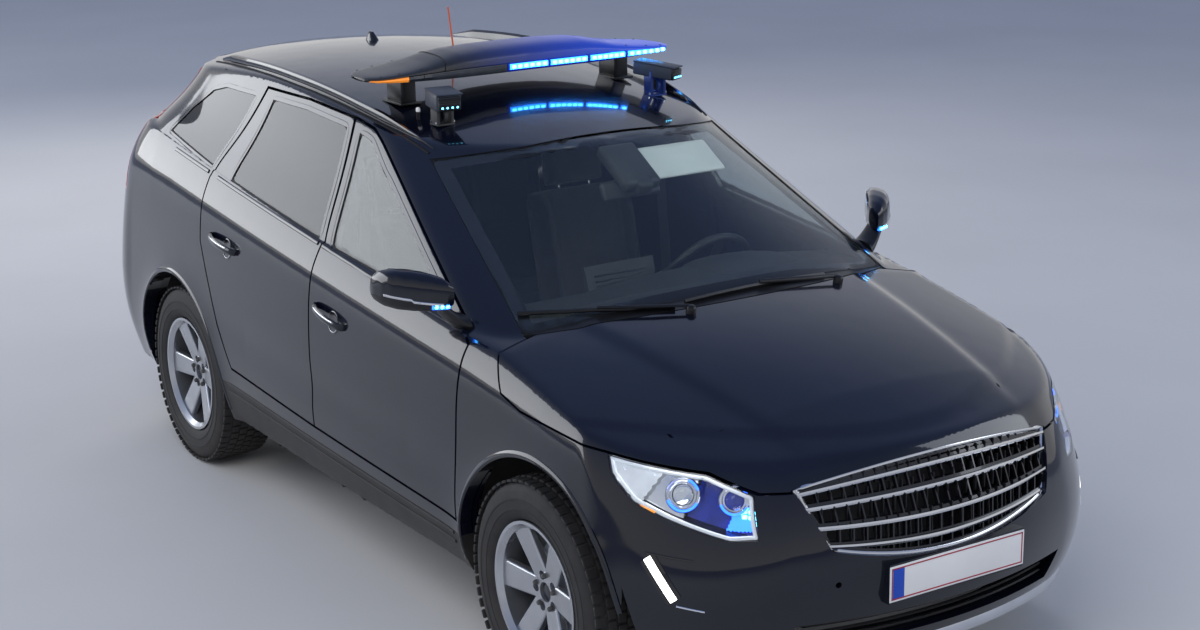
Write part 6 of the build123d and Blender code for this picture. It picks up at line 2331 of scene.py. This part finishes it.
@dataclass
class Cabin:
    """Seats, dashboard, console, steering wheel and belts."""

    seat_x: float = 0.370
    channels: tuple[float, ...] = (-0.55, -0.2, 0.15, 0.5)
    bench_places: tuple[Pair, ...] = ((-0.40, 0.405), (0.0, 0.385), (0.40, 0.405))
    vents: tuple[float, ...] = (-0.68, -0.10, 0.10, 0.68)
    terminal: Point = (0, -0.545, 1.000)
    terminal_tilt: float = -20.0
    belt: tuple[Point, ...] = (
        (0.640, 0.155, 1.30), (0.660, 0.160, 1.05), (0.690, 0.165, 0.70), (0.700, 0.165, 0.50)
    )

    def pad(self, name: str, pad: Pad, place: Point, lean: float, replaces: Iterable[str] = ()) -> None:
        """Adds one padded piece of a seat.

        Args:
            name: its name.
            pad: its slab.
            place: its middle.
            lean: its turn about X, in degrees.
            replaces: the CAD nodes that it stands for.
        """
        matrix = Matrix.Translation(place) @ Matrix.Rotation(math.radians(lean), 4, "X")
        piece = make_piece(name, turned_shape(pad.shape(), matrix), SEAT_CLOTH, replaces=replaces, angle=70)
        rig.padded(piece, fill=0.75)

    def front_seat(self, side: str) -> None:
        """Builds a front seat: cushion, back, headrest, shell, posts and runners.

        Args:
            side: left or right.
        """
        x = SIDES[side] * self.seat_x
        cushion = Pad((0.500, 0.540, 0.105), 0.008, 0.022, self.channels, 0.006)
        self.pad(f"seat_cushion_{side}", cushion, (x, -0.085, 0.578), 3, [f"front_seat_{side}"])
        back = Pad((0.480, 0.590, 0.095), 0.006, 0.026, self.channels, 0.006)
        self.pad(f"seat_back_{side}", back, (x, 0.265, 0.885), 77)
        self.pad(f"headrest_{side}", Pad((0.262, 0.175, 0.074), 0.006, count=37), (x, 0.374, 1.266), 84)
        parts = [rounded_box((0.42, 0.50, 0.05), (x, 0.0, 0.515), 0.02)]
        parts += [rounded_box((0.036, 0.46, 0.085), (x + k * 0.19, -0.02, 0.425), 0.006) for k in (-1, 1)]
        make_piece(f"seat_base_{side}", join_shapes(*parts), CABIN_PLASTIC, angle=30, slot=Slot.SEAT)
        posts = [
            tube([(x + k * 0.07, 0.352, 1.13), (x + k * 0.07, 0.366, 1.21)], 0.0065, 12) for k in (-1, 1)
        ]
        make_piece(f"headrest_posts_{side}", join_shapes(*posts), BRIGHT_METAL, slot=Slot.SEAT)

    def bench(self) -> None:
        """Builds the rear bench in three places."""
        for k, (x, width) in enumerate(self.bench_places):
            cushion = Pad((width, 0.40, 0.130), 0.008, 0.010, (-0.3, 0.3), 0.005, 45)
            stood_for = ["rear_bench"] if k == 0 else ()
            self.pad(f"bench_cushion_{k + 1}", cushion, (x, 0.745, 0.590), 4, stood_for)
            back = Pad((width, 0.615, 0.110), 0.006, 0.012, (-0.4, 0.0, 0.4), 0.005, 45)
            self.pad(f"bench_back_{k + 1}", back, (x, 1.005, 0.930), 80)
        shell = join_shapes(
            rounded_box((1.19, 0.36, 0.06), (0, 0.78, 0.50), 0.02),
            rounded_box((1.19, 0.030, 0.60), (0, 1.078, 0.93), 0.012),
        )
        make_piece("bench_shell", shell, CABIN_PLASTIC, angle=30, slot=Slot.SEAT)

    def dashboard(self) -> None:
        """Finishes the dashboard, console and steering wheel, and adds the instrument hood and the vents."""
        dress_nodes(["dashboard", "console"], CABIN_PLASTIC)
        dress_nodes(["steering_wheel"], CABIN_LEATHER)
        hood = []
        for t in np.linspace(-1, 1, 25).tolist():
            x, rise = self.seat_x + 0.185 * t, 0.040 * (1 - t**4)
            hood.append([
                (x, -0.92, 1.058), (x, -0.86, 1.066 + rise * 0.7), (x, -0.74, 1.064 + rise),
                (x, -0.66, 1.050 + rise), (x, -0.664, 1.040 + rise * 0.8), (x, -0.74, 1.046),
            ])
        make_piece("instrument_hood", loft(hood), CABIN_PLASTIC, angle=40)
        frames = [rounded_box((0.135, 0.012, 0.082), (x, -0.650, 0.981), 0.006) for x in self.vents]
        make_piece("vent_frames", join_shapes(*frames), BLACK_TRIM, angle=30, slot=Slot.INTERIOR)
        slats = [(x, -0.652, 0.955 + 0.013 * k) for x in self.vents for k in range(5)]
        size = (0.060, 0.007, 0.0014)
        RepeatTree.piece("vent_slats", unit_block(0.3), slats, (0.3, 0, 0), size, CABIN_PLASTIC)

    def terminal_parts(self) -> None:
        """Adds the patrol terminal's screen and the ribs on its back."""
        tilt = Matrix.Rotation(math.radians(self.terminal_tilt), 3, "X")
        centre = Vector(self.terminal)
        screen = rounded_box((0.262, 0.004, 0.170), centre + tilt @ Vector((0, 0.0145, 0)), 0.0015, tilt)
        make_piece("terminal_screen", screen, SCREEN, angle=30)
        places = [centre + tilt @ Vector((0, -0.0150, -0.06 + 0.02 * k)) for k in range(7)]
        ribs = [rounded_box((0.22, 0.005, 0.006), place, 0.002, tilt) for place in places]
        make_piece("terminal_ribs", join_shapes(*ribs), BLACK_TRIM, angle=30, slot=Slot.INTERIOR)

    def belts(self) -> None:
        """Hangs the front seats' belts."""
        for side, sign in SIDES.items():
            strap = [(sign * x, y, z) for x, y, z in self.belt]
            make_piece(f"belt_{side}", tube(strap, 0.023, 12, 0.07), BELT_WEBBING, angle=60)

    def build(self) -> None:
        """Builds the cabin."""
        for side in SIDES:
            self.front_seat(side)
        self.bench()
        self.dashboard()
        self.terminal_parts()
        self.belts()


@dataclass
class Wheel:
    """One road wheel: the alloy rim from the CAD, a fine tyre, bolts and a cap."""

    end: str
    side: str
    height: float = 0.3685
    radius: float = 0.3685
    width: float = 0.235
    rim: float = 0.2335
    wall: tuple[Pair, ...] = (
        (-0.004, 0.030), (0.004, 0.019), (0.011, 0.012), (0.024, 0.0055), (0.036, 0.0025), (0.037, 0.0008),
        (0.041, 0.0008), (0.042, 0.0022), (0.066, 0.0015), (0.067, 0), (0.072, 0), (0.073, 0.0015),
        (0.094, 0.006), (0.110, 0.013),
    )
    shoulder: tuple[Pair, ...] = ((0.012, 0.018), (0.004, 0.025), (0, 0.034))
    cap: tuple[Pair, ...] = (
        (0, 0.007), (0.018, 0.0065), (0.026, 0.0045), (0.030, 0.004), (0.031, 0.002), (0.031, -0.006)
    )
    bolt: tuple[Pair, ...] = ((0, 1.2), (0.5, 1.2), (0.85, 0.9), (1, 0.3), (1, -0.4), (0, -0.4))
    block_rows: tuple[float, ...] = (-0.090, -0.052, -0.017, 0.017, 0.052, 0.090)
    blocks: int = 62
    tread_depth: float = 0.0075
    bolt_circle: float = 0.054
    bolt_size: float = 0.0095

    @property
    def place(self) -> Pair:
        """Its middle's place along Y and its distance from the car's middle."""
        return {"front": (-1.429, 0.816), "rear": (1.345, 0.793)}[self.end]

    @property
    def sign(self) -> int:
        """The side's sign."""
        return SIDES[self.side]

    @property
    def body(self) -> str:
        """The body that turns."""
        return f"{self.end}_wheel_{self.side}"

    def tyre(self) -> None:
        """Builds the tyre with its side walls and tread blocks."""
        (y, x), tag = self.place, f"{self.end}_{self.side}"
        centre = (self.sign * x, y, self.height)
        half, base = self.width / 2, self.radius - self.tread_depth
        wall = [(self.rim + out, half - sunk) for out, sunk in self.wall]
        wall += [(base - sunk, half - across) for sunk, across in self.shoulder]
        inner = [(r, -h) for r, h in reversed(wall)]
        profile = [*wall, (base + 0.0015, 0.0), *inner, (self.rim - 0.012, 0.0)]
        tyre = lathe(profile, centre, (self.sign, 0, 0), 128, True)
        make_piece(f"tyre_{tag}", tyre, TYRE_RUBBER, self.body, [f"{self.end}_tyre_{self.side}"], 32)
        points, turns, sizes = [], [], []
        for row, across in enumerate(self.block_rows):
            outer = abs(across) > 0.08
            r = self.radius - 0.0052 - (0.0035 if outer else 0.0)
            for k in range(self.blocks):
                a = 2 * math.pi * (k + (0.5 if row % 2 else 0.0)) / self.blocks
                points.append((centre[0] + across, y + r * math.cos(a), self.height + r * math.sin(a)))
                turns.append((a - math.pi / 2, 0, 0))
                sizes.append((0.0190 if outer else 0.0150, 0.0142, 0.0046))
        RepeatTree.piece(f"tread_{tag}", unit_block(0.28), points, turns, sizes, TYRE_RUBBER, self.body)

    def fittings(self) -> None:
        """Builds the cap and the bolts on the rim's face."""
        (y, x), sign, tag = self.place, self.sign, f"{self.end}_{self.side}"
        tree = BVHTree.FromPolygons(*node_shape(self.body))

        def face(along: float, up: float, other: float) -> float:
            """How far out the rim's face lies at a place, or the other value where nothing is met."""
            found = tree.ray_cast(Vector((sign * 1.3, along, up)), Vector((-sign, 0, 0)), 1.0)
            return abs(found[0].x) if found[0] else other

        middle = face(y, self.height + 0.012, x + 0.06)
        cap = lathe(self.cap, (sign * middle, y, self.height), (sign, 0, 0), 40)
        make_piece(f"wheel_cap_{tag}", cap, GLOSS_BLACK, self.body, angle=50, slot=Slot.ALLOY)
        bolts = []
        for k in range(5):
            a = math.radians(90 + 72 * k)
            spot = (y + self.bolt_circle * math.cos(a), self.height + self.bolt_circle * math.sin(a))
            bolts.append((sign * face(*spot, middle), *spot))
        turn, size = (0, sign * math.pi / 2, 0), (self.bolt_size,) * 3
        item = lathe(self.bolt, ORIGIN, sides=6)
        RepeatTree.piece(f"wheel_bolts_{tag}", item, bolts, turn, size, CAST_STEEL, self.body)

    def build(self) -> None:
        """Builds the wheel."""
        dress_nodes([self.body], ALLOY)
        self.tyre()
        self.fittings()


@dataclass
class RearTrim:
    """Tail lamps, the high brake lamp, the rear wiper, the tailgate handle and reflectors."""

    skin: Skin
    strips: tuple[tuple[str, Point, Point, float, Finish], ...] = (
        ("high_brake_lamp", (-0.17, 1.95, 1.585), (0.17, 1.95, 1.585), 0.020, RED_GLOW),
        ("tailgate_handle", (-0.30, 2.2, 0.98), (0.30, 2.2, 0.98), 0.030, GLOSS_BLACK),
        ("rear_wiper_blade", (-0.04, 2.0, 1.245), (0.34, 2.0, 1.235), 0.012, BLACK_TRIM),
    )
    strip_height: float = 0.007
    reflector_section: Pair = (0.026, 0.003)

    def build(self) -> None:
        """Builds the rear trim."""
        for side, sign in SIDES.items():
            node = f"tail_lamp_{side}"
            self.skin.panel(node, RED_LENS)
            inner = self.skin.rim(node, 0.012, 0.010, -0.0006, 0.003, crown=0.0006)
            make_piece(f"{node}_inner", inner, RED_GLOW, node_body(node), angle=50)
            ends, out = [(sign * 0.50, 2.3, 0.60), (sign * 0.72, 2.2, 0.60)], (sign * 0.3, 1, 0)
            self.skin.strip(f"rear_reflector_{side}", ends, out, self.reflector_section, RED_LENS, 14)
        for name, start, end, width, finish in self.strips:
            section = (width, self.strip_height)
            self.skin.strip(name, [start, end], (0, 1, 0.1), section, finish, 21, body="tailgate")


@dataclass
class Underbody:
    """The CAD nodes under and inside the body, each with its own finish."""

    finishes: tuple[tuple[Finish, tuple[str, ...]], ...] = (
        (UNDERSEAL, ("floor_pan", "front_rails", "wheelhouses")),
        (CAST_STEEL, ("engine", "front_axle", "rear_axle", "struts", "knuckle_left", "knuckle_right")),
        (EXHAUST_STEEL, ("exhaust",)),
    )

    def build(self) -> None:
        """Finishes the nodes."""
        for finish, names in self.finishes:
            dress_nodes(names, finish)


@dataclass(frozen=True)
class SoftLamp:
    """One soft lamp: where it hangs, what it looks at, and whether smooth surfaces mirror it."""

    name: str
    place: Point
    aim: Point
    size: Pair
    power: float
    colour: Point
    mirrored: bool

    def hang(self) -> None:
        """Adds the lamp to the scene."""
        data = bpy.data.lights.new(self.name, "AREA")
        data.shape = "RECTANGLE"
        data.size, data.size_y = self.size
        data.energy = self.power
        data.color = self.colour
        lamp = bpy.data.objects.new(self.name, data)
        lamp.location = self.place
        lamp.rotation_euler = (Vector(self.aim) - Vector(self.place)).to_track_quat("-Z", "Y").to_euler()
        lamp.visible_glossy = self.mirrored
        bpy.context.scene.collection.objects.link(lamp)


@dataclass
class Studio:
    """The floor, the soft lamps and the camera at the photograph's angle."""

    place: Point = (-4.021, -6.666, 2.988)
    azimuth: float = -32.674
    elevation: float = 15.863
    roll: float = -0.879
    lens: float = 64.2
    sensor: float = 36.0
    floor_size: float = 90.0
    floor_finish: Finish = Finish(
        "pale_floor", (0.60, 0.60, 0.59), 0.75, tone=0.03, tone_scale=0.7, grain_scale=60, grain_depth=0.0004
    )
    horizon: Point = (0.90, 0.90, 0.91)
    sky: Point = (0.20, 0.28, 0.52)
    sky_start: float = 0.70
    sky_strength: float = 0.75
    soft_lamps: tuple[SoftLamp, ...] = (
        SoftLamp("key", (-5.0, -4.5, 6.5), (0, -0.4, 0.7), (5.0, 4.0), 300, (1.0, 0.98, 0.95), False),
        SoftLamp("fill", (6.5, -5.0, 4.5), (0, -0.2, 0.6), (5.0, 4.0), 150, (0.86, 0.92, 1.0), True),
        SoftLamp("rim", (2.0, 7.5, 5.0), (0, 0.5, 0.9), (6.0, 3.0), 200, (1.0, 0.95, 0.9), False),
        SoftLamp("side_sky", (-9.6, 10.6, 4.4), (-0.8, 0.0, 1.2), (13.0, 6.2), 820, (0.93, 0.96, 1.0), True),
    )

    def camera(self) -> None:
        """Sets the camera."""
        a, e, r = (math.radians(v) for v in (self.azimuth, self.elevation, self.roll))
        back = Vector((math.sin(a) * math.cos(e), -math.cos(a) * math.cos(e), math.sin(e)))
        level = Vector((math.cos(a), math.sin(a), 0))
        up = back.cross(level)
        right = math.cos(r) * level + math.sin(r) * up
        top = math.cos(r) * up - math.sin(r) * level
        data = bpy.data.cameras.new("camera")
        data.sensor_width = self.sensor
        data.lens = self.lens
        data.clip_end = 300
        camera = bpy.data.objects.new("camera", data)
        turn = Matrix((right, top, back)).transposed().to_4x4()
        camera.matrix_world = Matrix.Translation(self.place) @ turn
        bpy.context.scene.collection.objects.link(camera)
        bpy.context.scene.camera = camera

    def floor(self) -> None:
        """Lays a plain pale floor."""
        half = self.floor_size / 2
        mesh = bpy.data.meshes.new("floor")
        corners = [(-half, -half, 0), (half, -half, 0), (half, half, 0), (-half, half, 0)]
        mesh.from_pydata(corners, [], [(0, 1, 2, 3)])
        floor = bpy.data.objects.new("floor", mesh)
        bpy.context.scene.collection.objects.link(floor)
        mesh.materials.append(self.floor_finish.material())
        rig.stage(floor)

    def world(self) -> None:
        """Lights the world from a pale horizon to a blue sky."""
        world = bpy.data.worlds.new("studio")
        bpy.context.scene.world = world
        world.use_nodes = True
        graph = Graph(world.node_tree)
        where = graph.add("ShaderNodeTexCoord").outputs["Generated"]
        height = graph.add("ShaderNodeSeparateXYZ", {0: where}).outputs["Z"]
        ramp = graph.add("ShaderNodeValToRGB", {"Fac": height})
        low, high = ramp.color_ramp.elements
        low.color, high.color, high.position = (*self.horizon, 1), (*self.sky, 1), self.sky_start
        background = graph.tree.nodes["Background"]
        graph.feed(background, {"Color": ramp.outputs["Color"], "Strength": self.sky_strength})

    def build(self) -> None:
        """Builds the studio."""
        self.camera()
        self.floor()
        self.world()
        for lamp in self.soft_lamps:
            lamp.hang()
        bpy.context.scene.view_settings.view_transform = "Standard"


def save_sizes() -> None:
    """Writes the CAD box and the visual model's box."""
    with open("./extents.json", "w") as out:
        json.dump({"cad": CAD_BOX, "visual": [list(corner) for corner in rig.bounds()]}, out)


def main() -> None:
    """Builds the studio and every sub-assembly in order."""
    Studio().build()
    skin = Skin()
    skin.build(SKIN_NODES)
    Coachwork(skin).build()
    for side in SIDES:
        Headlamp(skin, side).build()
        DoorFittings(skin, side).build()
        for end in ("front", "rear"):
            Wheel(end, side).build()
    FrontTrim(skin).build()
    RoofKit(skin).build()
    GlassFittings(skin).build()
    RearTrim(skin).build()
    Cabin().build()
    Underbody().build()
    save_sizes()


if __name__ == "__main__":
    main()
